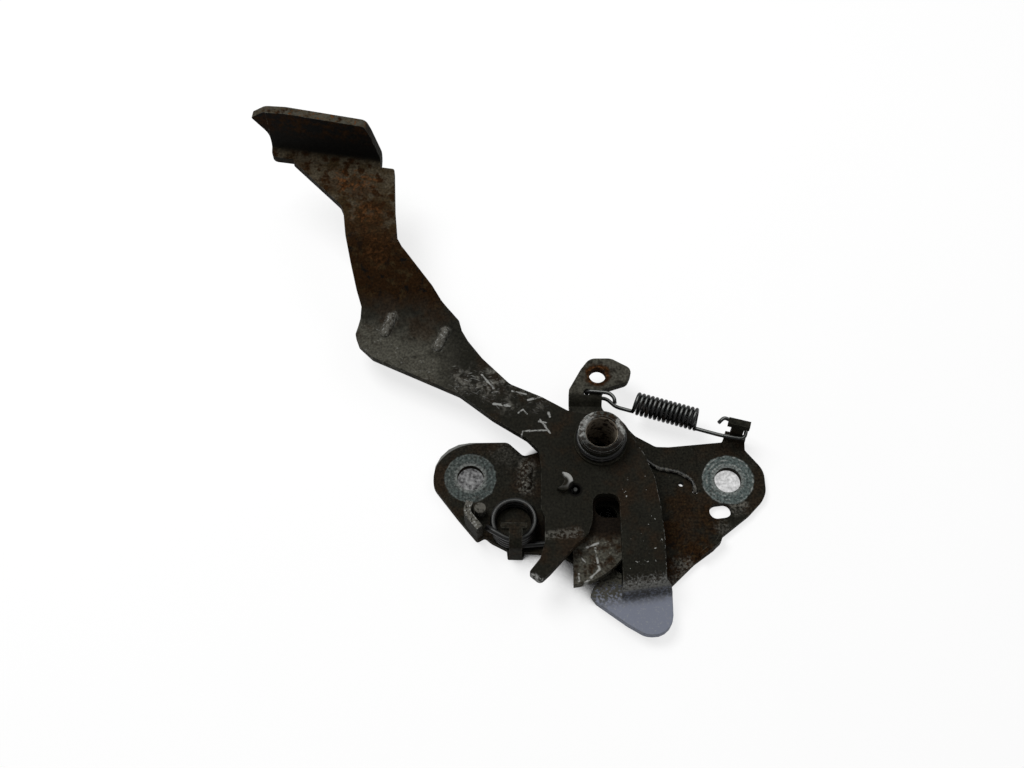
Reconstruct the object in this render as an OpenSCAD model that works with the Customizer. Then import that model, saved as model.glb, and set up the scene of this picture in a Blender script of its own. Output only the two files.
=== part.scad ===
// Bonnet latch with a hand-worked safety lever, a striker claw and a cable-released pawl.
// The origin lies midway between the two bolt holes on the back of the plate, +Z towards the front.

/* [Base plate] */
// Distance between the two bolt holes
bolt_spacing = 87; // [84:0.5:92]
// Diameter of each bolt hole
bolt_hole_d = 9; // [7:0.1:10.5]
// Thickness of the plate
plate_t = 2.5; // [2:0.1:3]
// Width of the locating slot
locator_w = 5.2; // [4:0.1:6]
// Length of the locating slot
locator_l = 7.4; // [6.2:0.1:9]
// Height of the spring anchor over the mounting face
anchor_h = 16.5; // [15:0.5:19]
// Width of the anchor's head
anchor_w = 7.4; // [6.6:0.1:8.4]
// Width of the anchor's neck, which the spring hooks round
anchor_neck_w = 4.2; // [3:0.1:5]
// Height of the hook tab over the mounting face
hook_tab_h = 13; // [12:0.5:16]

/* [Layers] */
// Thickness of the safety lever
lever_t = 3; // [2.5:0.1:3.5]
// Thickness of the claw and of the pawl
claw_t = 3.5; // [3:0.1:4.5]
// Room between one layer and the next
layer_gap = 0.5; // [0.4:0.1:1]
// Radial clearance of a pin that turns in its hole
running_gap = 0.05; // [0.02:0.01:0.1]
// Room round a spring wire in a hole or beside a wall
wire_gap = 0.3; // [0.2:0.05:0.5]

/* [Pivot] */
// Diameter of the bush shank
bush_d = 13.2; // [12.4:0.1:13.8]
// Diameter of the bore through the bush
bush_bore_d = 10.4; // [8:0.1:11]
// Diameter of the ring head
head_d = 15.6; // [15:0.1:17]
// Thickness of the ring head
head_t = 2.3; // [1.6:0.1:3]
// Height of the ring head over the safety lever
head_rise = 8; // [7.6:0.1:10]
// Depth of the countersink that takes the swaged end of a rivet
swage_h = 1.2; // [0.8:0.1:1.5]
// Thickness of the washer on the safety lever
washer_t = 1.3; // [0.8:0.1:1.6]

/* [Safety lever] */
// Turn of the arm's bend lines from the plate's X axis, in degrees
arm_skew = 8; // [6:0.5:10]
// Distance of the finger flange from the bolt line
arm_reach = 100; // [85:1:115]
// Height of the arm's far end over the lever's body
arm_rise = 14.5; // [10:0.5:20]
// Height of the finger flange over the arm
finger_h = 18.5; // [12:0.5:24]
// Width of the striker slot
slot_w = 9; // [8.6:0.1:9.6]
// Height of the step in the left foot
foot_step = 2.5; // [1.5:0.1:3.5]
// Radius of a gusset rib
rib_r = 1.9; // [1.6:0.1:2.2]
// Height of the spring lug over the lever
lug_h = 2.2; // [1.5:0.1:3]

/* [Claw and pawl] */
// Radius of the claw's rim
claw_r = 23; // [22:0.1:24]
// Diameter of the striker that the claw takes
striker_d = 6.5; // [6:0.1:6.9]
// Height of the lobe that the pawl holds, over the claw's rim
lobe_h = 1.5; // [1.2:0.1:2]
// Overlap of the pawl's tooth under that lobe
tooth_grip = 0.5; // [0.3:0.05:0.6]
// Diameter of the claw's pivot
claw_pivot_d = 7; // [6:0.1:7.6]
// Diameter of the cable eye
cable_eye_d = 5.8; // [4:0.1:7]
// Step of the pawl up to its cable plate
cable_step = 2.5; // [1.5:0.1:3]

/* [Springs] */
// Wire of the pawl spring
pawl_wire_d = 1.3; // [1:0.05:1.5]
// Turns of the pawl spring
pawl_turns = 14; // [10:1:15]
// Outer diameter of the pawl spring
pawl_coil_d = 8; // [7:0.1:8.6]
// Wire of the claw spring
claw_wire_d = 2; // [1.6:0.05:2.1]
// Outer diameter of the claw spring
claw_coil_d = 16; // [15:0.1:16.6]
// Wire of the safety spring
safety_wire_d = 1.3; // [1.1:0.05:1.5]
// Wire of the friction spring
friction_wire_d = 1.5; // [1.2:0.05:1.7]

/* [Hidden] */
$fn = 64;

// Heights of the layers
tongue_z = plate_t + layer_gap;
claw_z = tongue_z + lever_t + layer_gap;
claw_top = claw_z + claw_t;
lever_z = claw_top + layer_gap;
lever_top = lever_z + lever_t;
head_top = lever_top + head_rise;
head_z = head_top - head_t;

// Places on the plate
left_x = -bolt_spacing / 2;
right_x = bolt_spacing / 2;
pivot = [0, 9];
claw_c = [-12, -17];
coil_c = [-28.7, -17.6];
seat = [1.5, -13.2];
// The stop pin sits by the bolt and slides round the coil when the bolt comes close to it
pin_r = 1.9;
pin_clear = 1.2;
pin_run = coil_c[0] - left_x - 3.5;
pin_stand = claw_coil_d / 2 + pin_r + pin_clear;
pin_rise = max(5.3, sqrt(max(0, pow(pin_stand, 2) - pow(pin_run, 2))));
pin_c = [left_x + 3.5, coil_c[1] + pin_rise];
lug_c = [-12.6, -6.2];
lug_window = [-8.6, -8.4];
anchor_c = [right_x + 3, 15];
anchor_way = [cos(14), -sin(14)];

// Radii that mating pieces share
bush_r = bush_d / 2;
bush_hole_r = bush_r + running_gap;
claw_pivot_r = claw_pivot_d / 2;
seat_r = striker_d / 2 + 0.3;
lobe_r = claw_r + lobe_h;
tooth_r = lobe_r - tooth_grip;
pawl_hub_r = bush_r + 3.9;
lever_hub_r = bush_r + 3.9;

function unit(v) = v / norm(v);
function turn(p, a) = [p[0] * cos(a) - p[1] * sin(a), p[0] * sin(a) + p[1] * cos(a)];
function flat(p) = [p[0], p[1]];
function polar(c, r, a) = c + r * [cos(a), sin(a)];
function swing(a) = a > 180 ? a - 360 : a < -180 ? a + 360 : a;

// Points of the round that replaces corner b between a and c
function corner(a, b, c, r, steps) =
    let (u = unit(a - b))
    let (v = unit(c - b))
    let (half = acos(u * v) / 2)
    let (m = b + unit(u + v) * r / sin(half))
    let (s = b + u * r / tan(half) - m)
    let (e = b + v * r / tan(half) - m)
    let (a0 = atan2(s[1], s[0]))
    let (sweep = swing(atan2(e[1], e[0]) - a0))
    [for (i = [0:steps]) polar(m, r, a0 + sweep * i / steps)];

// Closed outline from corners [x, y, radius]
function rounded(p, steps = 5) =
    let (n = len(p))
    [for (i = [0:n - 1])
        each p[i][2] > 0
            ? corner(flat(p[(i + n - 1) % n]), flat(p[i]), flat(p[(i + 1) % n]), p[i][2], steps)
            : [flat(p[i])]];

// Open line from corners [x, y, radius]
function bent(p, steps = 5) =
    let (n = len(p))
    [for (i = [0:n - 1])
        each i > 0 && i < n - 1 && p[i][2] > 0
            ? corner(flat(p[i - 1]), flat(p[i]), flat(p[i + 1]), p[i][2], steps)
            : [flat(p[i])]];

function left_of(v) = [-v[1], v[0]];
function shift_line(p, off) =
    let (n = len(p))
    [for (i = [0:n - 1])
        let (before = i > 0 ? left_of(unit(p[i] - p[i - 1])) : left_of(unit(p[1] - p[0])))
        let (after = i < n - 1 ? left_of(unit(p[i + 1] - p[i])) : before)
        let (mid = unit(before + after))
        p[i] + mid * off / (mid * before)];

// Section of a bent sheet of thickness t round the middle line p
function strip(p, t) =
    let (a = shift_line(p, t / 2))
    let (b = shift_line(p, -t / 2))
    concat(a, [for (i = [len(b) - 1:-1:0]) b[i]]);

module plate(points, z, t) {
    translate([0, 0, z]) linear_extrude(t) polygon(points);
}

module disc(c, r, z, t) {
    translate([c[0], c[1], z]) cylinder(r = r, h = t);
}

module ring(c, outer, inner, z, t) {
    difference() {
        disc(c, outer, z, t);
        disc(c, inner, z - 1, t + 2);
    }
}

// Sheet bent along Y and Z, from x0 to x1
module bent_sheet(line, t, x0, x1) {
    translate([x0, 0, 0]) rotate([90, 0, 90]) linear_extrude(x1 - x0) polygon(strip(line, t));
}

// Outline in X and Z, extruded from y0 to y1
module upright(points, y0, y1) {
    translate([0, y1, 0]) rotate([90, 0, 0]) linear_extrude(y1 - y0) polygon(points);
}

// Round wire along a line of points in space
wire_sides = 8;
wire_lean = unit([0.36, 0.48, 0.8]);
function along(p, i) =
    unit(p[min(i + 1, len(p) - 1)] - p[max(i - 1, 0)]);
function wire_ring(p, i, r) =
    let (t = along(p, i))
    let (u = unit(cross(t, wire_lean)))
    let (v = cross(t, u))
    [for (k = [0:wire_sides - 1])
        p[i] + r * (u * cos(k * 360 / wire_sides) + v * sin(k * 360 / wire_sides))];

module wire(p, d) {
    n = len(p);
    s = wire_sides;
    rings = [for (i = [0:n - 1]) each wire_ring(p, i, d / 2)];
    sides = [for (i = [0:n - 2]) for (k = [0:s - 1])
        each [[i * s + k, i * s + (k + 1) % s, (i + 1) * s + k],
            [i * s + (k + 1) % s, (i + 1) * s + (k + 1) % s, (i + 1) * s + k]]];
    first = [[for (k = [s - 1:-1:0]) k]];
    last = [[for (k = [0:s - 1]) (n - 1) * s + k]];
    polyhedron(rings, concat(sides, first, last));
}

// Coil of mean radius r about the Z axis through c, from angle a0 to a1 and height z0 to z1
function helix(c, r, a0, a1, z0, z1, step = 20) =
    let (n = ceil(abs(a1 - a0) / step))
    [for (i = [0:n])
        let (a = a0 + (a1 - a0) * i / n)
        [c[0] + r * cos(a), c[1] + r * sin(a), z0 + (z1 - z0) * i / n]];

// Line in space with its inner corners softened over a distance d
function soften(p, d) =
    let (n = len(p))
    [for (i = [0:n - 1])
        each i == 0 || i == n - 1 ? [p[i]] :
            let (a = p[i] + unit(p[i - 1] - p[i]) * min(d, norm(p[i - 1] - p[i]) * 0.45))
            let (b = p[i] + unit(p[i + 1] - p[i]) * min(d, norm(p[i + 1] - p[i]) * 0.45))
            [for (k = [0:4]) let (t = k / 4)
                a * (1 - t) * (1 - t) + p[i] * 2 * t * (1 - t) + b * t * t]];

// Rivet shank through the plate, flush in a countersink behind
module tail(c, r) {
    disc(c, r, 0, plate_t + 0.2);
    translate([c[0], c[1], 0]) cylinder(r1 = r + swage_h, r2 = r, h = swage_h);
}

// Hole for that shank
module tail_hole(c, r) {
    disc(c, r + running_gap, -1, plate_t + 2);
    translate([c[0], c[1], -0.01]) cylinder(r1 = r + running_gap + swage_h, r2 = r + running_gap, h = swage_h);
}

// Round-ended bar between two points
module bar(a, b, r) {
    v = b - a;
    translate(a) sphere(r = r);
    translate(b) sphere(r = r);
    translate(a) rotate([0, acos(v[2] / norm(v)), atan2(v[1], v[0])]) cylinder(r = r, h = norm(v));
}

// Base plate
tab_t = plate_t - 0.2;
claw_mean_r = (claw_coil_d - claw_wire_d) / 2;
claw_turns = 3;
claw_coil_z0 = plate_t + claw_wire_d / 2 + 0.2;
claw_coil_z1 = claw_coil_z0 + (claw_turns + 35 / 360) * (claw_wire_d + 0.1);
lip_z = claw_coil_z1 + claw_wire_d / 2 + wire_gap;
lip_wall_y = coil_c[1] - claw_coil_d / 2 - wire_gap - tab_t / 2;
lip_foot_y = lip_wall_y - tab_t / 2;
anchor_normal = [-anchor_way[1], anchor_way[0]];
anchor_foot = 3.6;
safety_hole = [32.3, -4.2];
hook_knee = [left_x - 0.9, -16.06];
hook_end = [left_x + 3.6, -21.6];
hook_line = bent([[left_x + 0.2, -12.4, 0], [hook_knee[0], hook_knee[1], 3], [hook_end[0], hook_end[1], 0]]);

function on_anchor(along, out) = anchor_c + anchor_way * along + anchor_normal * out;
function corner_at(p, r) = [p[0], p[1], r];

plate_edge = [
    [left_x - 12.5, 12.6, 12.3], [left_x - 12.5, -3.2, 6], [left_x - 4, -14.4, 1],
    [left_x + 2.6, -22.4, 1], [left_x + 5.2, -20.9, 1], [left_x + 7.5, -22.8, 1.5], [-31, -25.4, 0.5],
    [-30.7, lip_foot_y, 0.5], [-25.6, lip_foot_y, 0.5], [-25.2, -26.2, 0.5],
    [-14, -26.6, 3], [-8.5, -29.8, 1.2], [seat[0] - 5.2, -27.5, 1.5],
    [seat[0] - 4.2, -9.6, 3.9], [seat[0] + 4.2, -9.6, 3.9], [seat[0] + 5.2, -31, 2],
    [10.5, -38, 2], [22, -38.5, 3], [31, -29.6, 3], [37.6, -24.6, 3], [40.2, -21.8, 1], [40.7, -20, 1],
    [right_x + 6.5, -12.4, 10], [right_x + 12.7, -5.6, 7], [right_x + 12.4, 3.6, 8],
    [right_x + 6.4, 11, 1.5], corner_at(on_anchor(anchor_foot - 0.2, tab_t / 2 - 0.3), 0.3),
    corner_at(on_anchor(0.2 - anchor_foot, tab_t / 2 - 0.3), 0.3),
    corner_at(on_anchor(-anchor_foot - 0.3, -tab_t / 2 - 1), 0.5), [24, 11.9, 4], [19.5, 12, 3], [12.6, 16, 2],
    [8.5, 20.6, 4], [-8.5, 20.6, 4], [-13, 13, 3], [-21.4, 9.4, 3], [-25.6, 8.1, 2], [-31, 13.2, 3]];

// Flat bar stood on edge along the anchor
module anchor_wall(half, t, z, h) {
    plate(strip([on_anchor(-half, 0), on_anchor(half, 0)], t), z, h);
}

// The anchor is bent up from the plate's upper edge and ends in a head that is wider than its neck
head_h = 2.7;
module anchor() {
    anchor_wall(anchor_foot, tab_t, 0.3, 4.9);
    anchor_wall(anchor_neck_w / 2, tab_t - 0.2, 1, anchor_h - 2);
    anchor_wall(anchor_w / 2, tab_t, anchor_h - head_h, head_h);
}

// Upturned lip on the plate's lower right edge
lip_line = bent([[39.8, -20.4, 0], [39.3, -22, 1], [36.9, -24.2, 3], [32.6, -27.4, 0]]);

module locator_hole() {
    translate([right_x - 3.1, -11.2, -1]) rotate([0, 0, 8]) {
        translate([-(locator_l - locator_w) / 2, 0, 0]) cylinder(d = locator_w, h = plate_t + 2);
        translate([(locator_l - locator_w) / 2, 0, 0]) cylinder(d = locator_w, h = plate_t + 2);
        translate([-(locator_l - locator_w) / 2, -locator_w / 2, 0])
            cube([locator_l - locator_w, locator_w, plate_t + 2]);
    }
}

module base_plate() {
    color("#2c2a28") difference() {
        union() {
            plate(rounded(plate_edge), 0, plate_t);
            anchor();
            plate(strip(lip_line, 1.4), 0.3, plate_t + 2.2);
            plate(strip(hook_line, tab_t), 0.3, hook_tab_h - 0.3);
            bent_sheet(bent([[lip_wall_y, 0, 0], [lip_wall_y, lip_z + tab_t / 2, 2.4],
                [coil_c[1] - 2.6, lip_z + tab_t / 2, 0]]), tab_t, -30.3, -26);
            plate(rounded([[-33, -22, 0.6], [-24.4, -22, 0.6], [-24.4, -20.2, 0.6], [-33, -20.2, 0.6]]),
                lip_z, tab_t);
            intersection() {
                bar([-24.6, -2.2, plate_t - 1.4], [-24.6, 3.6, plate_t - 1.4], 2.6);
                translate([-40, -20, 0.5]) cube([40, 40, 20]);
            }
        }
        disc([left_x, 0], bolt_hole_d / 2, -1, plate_t + 2);
        disc([right_x, 0], bolt_hole_d / 2, -1, plate_t + 2);
        locator_hole();
        disc([27.6, -1.6], 0.9, -1, plate_t + 2);
        disc(safety_hole, safety_wire_d / 2 + wire_gap, -1, plate_t + 2);
        tail_hole(pivot, bush_r);
        tail_hole(claw_c, claw_pivot_r);
        tail_hole(coil_c, 3);
        disc(pin_c, pin_r + running_gap, -1, plate_t + 2);
    }
}

// Pivot pieces
module pivot_bush() {
    color("#6f767b") difference() {
        union() {
            disc(pivot, bush_r, 0, head_top - 0.4);
            tail(pivot, bush_r);
            disc(pivot, head_d / 2, head_z, head_t - 0.5);
            translate([pivot[0], pivot[1], head_top - 0.5])
                cylinder(r1 = head_d / 2, r2 = head_d / 2 - 0.5, h = 0.5);
        }
        disc(pivot, bush_bore_d / 2, -1, head_top + 2);
        translate([pivot[0], pivot[1], head_top - 0.6])
            cylinder(r1 = bush_bore_d / 2, r2 = bush_bore_d / 2 + 0.7, h = 0.7);
    }
}

collar_r = bush_r + 0.9;
module spacer_collar() {
    color("#55524c") ring(pivot, collar_r, bush_hole_r, plate_t, claw_z - plate_t);
}

module middle_washer() {
    color("#66625c") ring(pivot, bush_r + 2.6, bush_hole_r, claw_top, layer_gap);
}

module upper_washer() {
    color("#3b3936") ring(pivot, bush_r + 2.3, bush_hole_r, lever_top, washer_t);
}

friction_r = bush_r + running_gap + wire_gap + friction_wire_d / 2;
friction_z0 = lever_top + washer_t + friction_wire_d / 2;
friction_z1 = head_z - friction_wire_d / 2;
module friction_spring() {
    color("#37353a") wire(helix(pivot, friction_r, -150, 500, friction_z0, friction_z1), friction_wire_d);
}

// Safety lever
// The arm is drawn along its bend lines (e) and up the arm (n), and arm_reach draws it out past the first bend
function far(n) = n < 40 ? n : 40 + (n - 40) * (arm_reach - 40) / 60;
function arm(e, n, r) =
    [e * cos(arm_skew) + far(n) * sin(arm_skew), far(n) * cos(arm_skew) - e * sin(arm_skew), r];
lever_mid = lever_z + lever_t / 2;
// The sheet is a little thinner where it is drawn through a bend
drawn_t = lever_t - 0.04;
arm_mid = lever_mid + arm_rise;
arm_bend = 3.2 * arm_rise / 14.5;
arm_line = bent([[30, lever_mid, 0], [40, lever_mid, 12], [far(52), lever_mid + arm_bend, 8],
    [far(67.5), arm_mid, 8], [arm_reach, arm_mid, 4], [arm_reach + 0.7, arm_mid + lever_t / 2 + finger_h + 4, 0]], 6);
slot_l = seat[0] - slot_w / 2;
slot_r = seat[0] + slot_w / 2;
finger_top = arm_mid + lever_t / 2 + finger_h;

lever_edge = [
    [5, 17.5, 0], [-10.8, 20.3, 2], [-19.5, 25.3, 4], [-30.4, 30.1, 6], [-40, 39.8, 6],
    arm(-51.1, 39.8, 3), arm(-53.7, 43, 2), arm(-55.2, 46.3, 2), arm(-62.4, 52.3, 3),
    arm(-66.1, 56.1, 3), arm(-78.2, 66, 1), arm(-80.1, 68.4, 1), arm(-83, 80, 6),
    arm(-86.2, 96.4, 1), arm(-122.6, 96.4, 0), arm(-122.4, 94.3, 1), arm(-102.3, 79, 3),
    arm(-100.6, 76, 2), arm(-98.2, 67.2, 2), arm(-95.8, 60.8, 4), arm(-92.8, 53.5, 3),
    arm(-89.7, 47.1, 2), arm(-89.3, 42.5, 2), arm(-90, 36.5, 2), arm(-88, 32.8, 2),
    [-77.7, 40, 3], [-62, 32.8, 0], [-47.4, 26.1, 8], [-36, 17.2, 6], [-24.5, 9.9, 5],
    [-20.4, 5.5, 3], [-19.8, -0.6, 3], [-19.9, -15, 1], [-18.6, -18, 1], [-18.6, -23.6, 0],
    [-4.6, -23.6, 0], [-3.2, -19.5, 2], [slot_l, -16.5, 0], [slot_l, -9.6, 3.4],
    [slot_r, -9.6, 3.4], [slot_r, -18, 3], [6.3, -28, 0], [6.4, -34, 0], [20.4, -34, 0],
    [20.3, -24.6, 6], [19.4, -14.2, 6], [17.8, -4, 6], [14.7, 4.2, 4], [10.6, 11.1, 3]];

foot_edge = [
    [-18.6, -21, 0], [-18.6, -27.2, 2], [-20.2, -33, 2], [-23.9, -37.9, 1], [-20.2, -41, 1.6],
    [-17.1, -38, 2], [-8.5, -28.2, 3], [-5.9, -25.5, 2], [-4.2, -22.4, 0], [-4, -21, 0]];

flange_edge = [
    [-130.6, arm_mid - 3, 0], [-130.9, arm_mid + 2, 0], [-131.2, arm_mid + finger_h * 0.5, 9],
    [-136.4, finger_top - 2.4, 0.8], [-131.4, finger_top + 1.8, 4], [-124, finger_top + 2.6, 8],
    [-96, finger_top + 0.8, 2.5], [-94.4, finger_top - 4, 4], [-91.6, arm_mid + 4, 3], [-91, arm_mid - 3, 0]];
flange_foot = [
    [-130.7, arm_reach - 4.9, 2.4], [-80, arm_reach - 4.9, 0], [-80, arm_reach + 10, 0],
    [-140, arm_reach + 10, 0], [-140, arm_reach - 0.5, 0], [-130.7, arm_reach - 0.5, 0]];

wall_edge = [
    [6.4, -32, 0], [6.4, -50, 0], [22.8, -47.5, 0], [22.8, -40.6, 1], [20.5, -38.4, 1], [20.4, -32, 0]];

tongue_edge = [
    [-3.7, -41.8, 0.5], [-1.9, -44.4, 1], [8, -51.6, 6], [13.6, -54.9, 6], [22.8, -55.5, 6.4],
    [22.8, -44.2, 0], [6.5, -46.6, 0], [6.5, -34.8, 0.5], [4.4, -33.2, 0.6], [-0.6, -36.9, 3],
    [-2.6, -39.3, 2]];

// Gusset rib pressed up across the first bend of the arm
function arm_lift(n) = max(0, n - 40) * arm_bend / 12;
module rib(e, n) {
    bar([e - 0.8, n - 3, lever_top - 0.5 + arm_lift(n - 3)],
        [e + 0.8, n + 3, lever_top - 0.5 + arm_lift(n + 3)], rib_r);
}

module safety_lever() {
    color("#33302d") difference() {
        union() {
            intersection() {
                plate(rounded(lever_edge), lever_z, lever_t);
                rotate([0, 0, -arm_skew]) translate([-200, -136, 0]) cube([300, 172, 90]);
            }
            intersection() {
                plate(rounded(lever_edge), 0, 90);
                rotate([0, 0, -arm_skew]) bent_sheet(arm_line, drawn_t, -140, 60);
            }
            rotate([0, 0, -arm_skew]) intersection() {
                bent_sheet(arm_line, drawn_t, -140, -80);
                upright(rounded(flange_edge), arm_reach - 6, arm_reach + 10);
                plate(rounded(flange_foot), 0, 90);
            }
            rotate([0, 0, -arm_skew]) rib(-79.2, 41.6);
            rotate([0, 0, -arm_skew]) rib(-60.2, 38.9);
            disc(pivot, lever_hub_r, lever_z, lever_t);
            intersection() {
                plate(rounded(foot_edge), 0, 60);
                bent_sheet(bent([[-10, lever_mid, 0], [-25, lever_mid, 3],
                    [-28.5, lever_mid + foot_step, 3], [-50, lever_mid + foot_step, 0]]), lever_t, -40, 10);
            }
            intersection() {
                plate(rounded(wall_edge), 0, 60);
                translate([13.5, -39.5, 0]) rotate([0, 0, 9]) bent_sheet(bent([[30, lever_mid, 0],
                    [0, lever_mid, 3], [-1.4, tongue_z + lever_t / 2, 3], [-30, tongue_z + lever_t / 2, 0]]),
                    drawn_t, -20, 20);
            }
            plate(rounded(tongue_edge), tongue_z, lever_t);
            difference() {
                disc(lug_c, 3.2, lever_top - 1, lug_h + 1);
                disc(lug_c + [-2.9, 0.9], 3.4, lever_top - 2, lug_h + 4);
            }
        }
        disc(pivot, bush_hole_r, lever_z - 1, lever_t + 2);
        disc(lug_window, 1.7, lever_z - 1, lever_t + 2);
    }
}

safety_r = collar_r + wire_gap + safety_wire_d / 2;
safety_z0 = plate_t + safety_wire_d / 2 + 0.15;
safety_z1 = claw_z - safety_wire_d / 2 - 0.15;
safety_line = concat(
    soften([[safety_hole[0], safety_hole[1], 0.6], [safety_hole[0], safety_hole[1], safety_z0],
        [31.2, -0.4, safety_z0], [27, 2.4, safety_z0], [19.6, 3.8, safety_z0],
        [pivot[0] + safety_r * cos(44) + 0.9, pivot[1] + safety_r * sin(44) - 0.8, safety_z0]], 1.5),
    helix(pivot, safety_r, 47, 560, safety_z0, safety_z1),
    soften([[-9.6, 0, safety_z1], [lug_window[0], lug_window[1], safety_z1],
        [lug_window[0], lug_window[1], lever_top + 0.4]], 1.6));
module safety_spring() {
    color("#39373b") wire(safety_line, safety_wire_d);
}

// Release pawl
cable_eye = [-0.5, 34.2];
spring_hole = [-4.2, 27.8];
pawl_mid = claw_z + claw_t / 2;
cable_top = claw_top + cable_step;
pawl_arm = [
    [-9.6, 10, 0], [-10.35, 26, 3], [-10.35, 28.6, 2], [-6.2, 36.4, 3], [-3.2, 40.6, 4], [4.2, 40.7, 4],
    [11.6, 36.6, 2.6], [9.6, 31.8, 2.5], [1, 28.8, 2], [0.8, 23, 3], [7, 15, 0]];
pawl_shank = [
    [7, 9, 0], [10.4, 8, 0], [16.8, -3, 5], [18.6, -15, 5], [18.2, -28.5, 2], [13, -30.8, 1.5],
    [6, -29, 0], [4, 0, 0]];
tooth_a = -16;
tooth_b = -25;

module release_pawl() {
    color("#2f2d2b") difference() {
        union() {
            intersection() {
                plate(rounded(pawl_arm), 0, 60);
                bent_sheet(bent([[-20, pawl_mid, 0], [24.2, pawl_mid, 2], [26.4, pawl_mid + cable_step, 2],
                    [60, pawl_mid + cable_step, 0]]), claw_t, -30, 30);
            }
            disc(pivot, pawl_hub_r, claw_z, claw_t);
            difference() {
                plate(rounded(pawl_shank), claw_z, claw_t);
                disc(claw_c, lobe_r + 0.6, claw_z - 1, claw_t + 2);
            }
            plate([polar(claw_c, tooth_r, tooth_a), polar(claw_c, tooth_r, tooth_b),
                polar(claw_c, lobe_r + 3, tooth_b), polar(claw_c, lobe_r + 3, tooth_a)], claw_z, claw_t);
        }
        disc(pivot, bush_hole_r, claw_z - 1, claw_t + 2);
        disc(cable_eye, cable_eye_d / 2, claw_z, claw_t + 10);
        disc(spring_hole, pawl_wire_d / 2 + wire_gap + 0.25, claw_z, claw_t + 10);
    }
}

hook_side = anchor_neck_w / 2 + wire_gap + pawl_wire_d / 2;
hook_out = tab_t / 2 + wire_gap + pawl_wire_d / 2;
function on_hook(along, out, z) = let (p = on_anchor(along, out)) [p[0], p[1], z];
pawl_spring_z = 9;
pull_from = [spring_hole[0], spring_hole[1] - 1, pawl_spring_z];
pull_to = on_hook(-hook_side - 2, -hook_out - 0.6, pawl_spring_z);
pull = unit(pull_to - pull_from);
pull_side = [-pull[1], pull[0], 0];
pawl_coil_r = (pawl_coil_d - pawl_wire_d) / 2;
pawl_pitch = pawl_wire_d + 0.25;
pawl_start = 16.4;
pawl_end = pawl_start + pawl_turns * pawl_pitch;
function pull_at(s, z) = [pull_from[0] + pull[0] * s, pull_from[1] + pull[1] * s, z];
pawl_coil = [for (i = [0:pawl_turns * 14])
    let (a = i * 360 / 14)
    pull_at(pawl_start + i * pawl_pitch / 14, pawl_spring_z)
        + pull_side * pawl_coil_r * (1 - cos(a)) + [0, 0, pawl_coil_r * sin(a)]];
over_z = cable_top + pawl_wire_d / 2 + 0.15;
under_z = cable_top - claw_t - pawl_wire_d / 2 - 0.15;
pawl_line = concat(
    soften([[5.2, 23.4, over_z - 0.6], [5, 25.4, over_z], [3.2, 27.2, over_z], [-0.3, 27.5, over_z],
        [spring_hole[0], spring_hole[1], over_z], [spring_hole[0], spring_hole[1], under_z],
        [2.6, 27.4, under_z], pull_at(10.4, pawl_spring_z), pull_at(pawl_start - 1, pawl_spring_z)], 1.5),
    pawl_coil,
    soften([pull_at(pawl_end + 0.8, pawl_spring_z), pull_to, on_hook(hook_side, -hook_out, pawl_spring_z),
        on_hook(hook_side, hook_out, pawl_spring_z + 0.6), on_hook(-hook_side, hook_out + 0.6, pawl_spring_z + 2),
        on_hook(-hook_side - 2.2, hook_out + 0.8, pawl_spring_z + 2.6),
        on_hook(-hook_side - 3.6, hook_out - 1.6, pawl_spring_z + 2.6)], 2));
module pawl_spring() {
    color("#2a2a2d") wire(pawl_line, pawl_wire_d);
}

// Claw
claw_hook = [-6.5, coil_c[1] - claw_mean_r * sin(85) + 1.9];
rivet_head_r = claw_pivot_r + 1.6;
claw_edge = [
    [-12, -17], [-9.3, -23.5], [-9.3, -60], [40, -60], [40, -4], [-5.5, -4], [-6, -10]];

module latch_claw() {
    color("#4a3a2c") difference() {
        union() {
            disc(claw_c, claw_pivot_r + 3.7, claw_z, claw_t);
            intersection() {
                disc(claw_c, claw_r, claw_z, claw_t);
                plate(claw_edge, claw_z, claw_t);
            }
            intersection() {
                disc(claw_c, lobe_r, claw_z, claw_t);
                plate([claw_c, polar(claw_c, 60, -9), polar(claw_c, 60, 3)], claw_z, claw_t);
            }
        }
        disc(seat, seat_r, claw_z - 1, claw_t + 2);
        translate([seat[0], seat[1] - seat_r, claw_z - 1]) cube([40, 2 * seat_r, claw_t + 2]);
        disc(claw_c, claw_pivot_r + running_gap, claw_z - 1, claw_t + 2);
        disc(claw_c, rivet_head_r + 0.2, claw_top - 1.6, 3);
        disc(claw_hook, claw_wire_d / 2 + wire_gap, claw_z - 1, claw_t + 2);
    }
}

module claw_rivet() {
    color("#6a665f") union() {
        disc(claw_c, claw_pivot_r, 0, claw_top - 1.4);
        tail(claw_c, claw_pivot_r);
        disc(claw_c, rivet_head_r, claw_top - 1.5, 1.6);
    }
}

module claw_spacer() {
    color("#55524c") ring(claw_c, claw_pivot_r + 1.2, claw_pivot_r + running_gap, plate_t, claw_z - plate_t);
}

// The fixed leg runs from the top turn to the hook tab
hook_normal = left_of(unit(hook_end - hook_knee));
leg_from = polar(coil_c, claw_mean_r, 240);
leg_way = [-cos(30), sin(30)];
leg_room = (leg_from - hook_knee) * hook_normal - (tab_t + claw_wire_d) / 2 - 0.1;
leg_l = leg_room / -(leg_way * hook_normal);
claw_leg = [for (p = [leg_from + leg_l * leg_way, leg_from + leg_way]) [p[0], p[1], claw_coil_z1]];
module claw_spring() {
    color("#242326") wire(concat(claw_leg,
        helix(coil_c, claw_mean_r, 240, 275 + 360 * claw_turns, claw_coil_z1, claw_coil_z0),
        soften([[claw_hook[0] - 8, claw_hook[1] - 0.7, claw_coil_z0], [claw_hook[0], claw_hook[1], claw_coil_z0],
            [claw_hook[0], claw_hook[1], claw_top - 0.6]], 2)), claw_wire_d);
}

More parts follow.
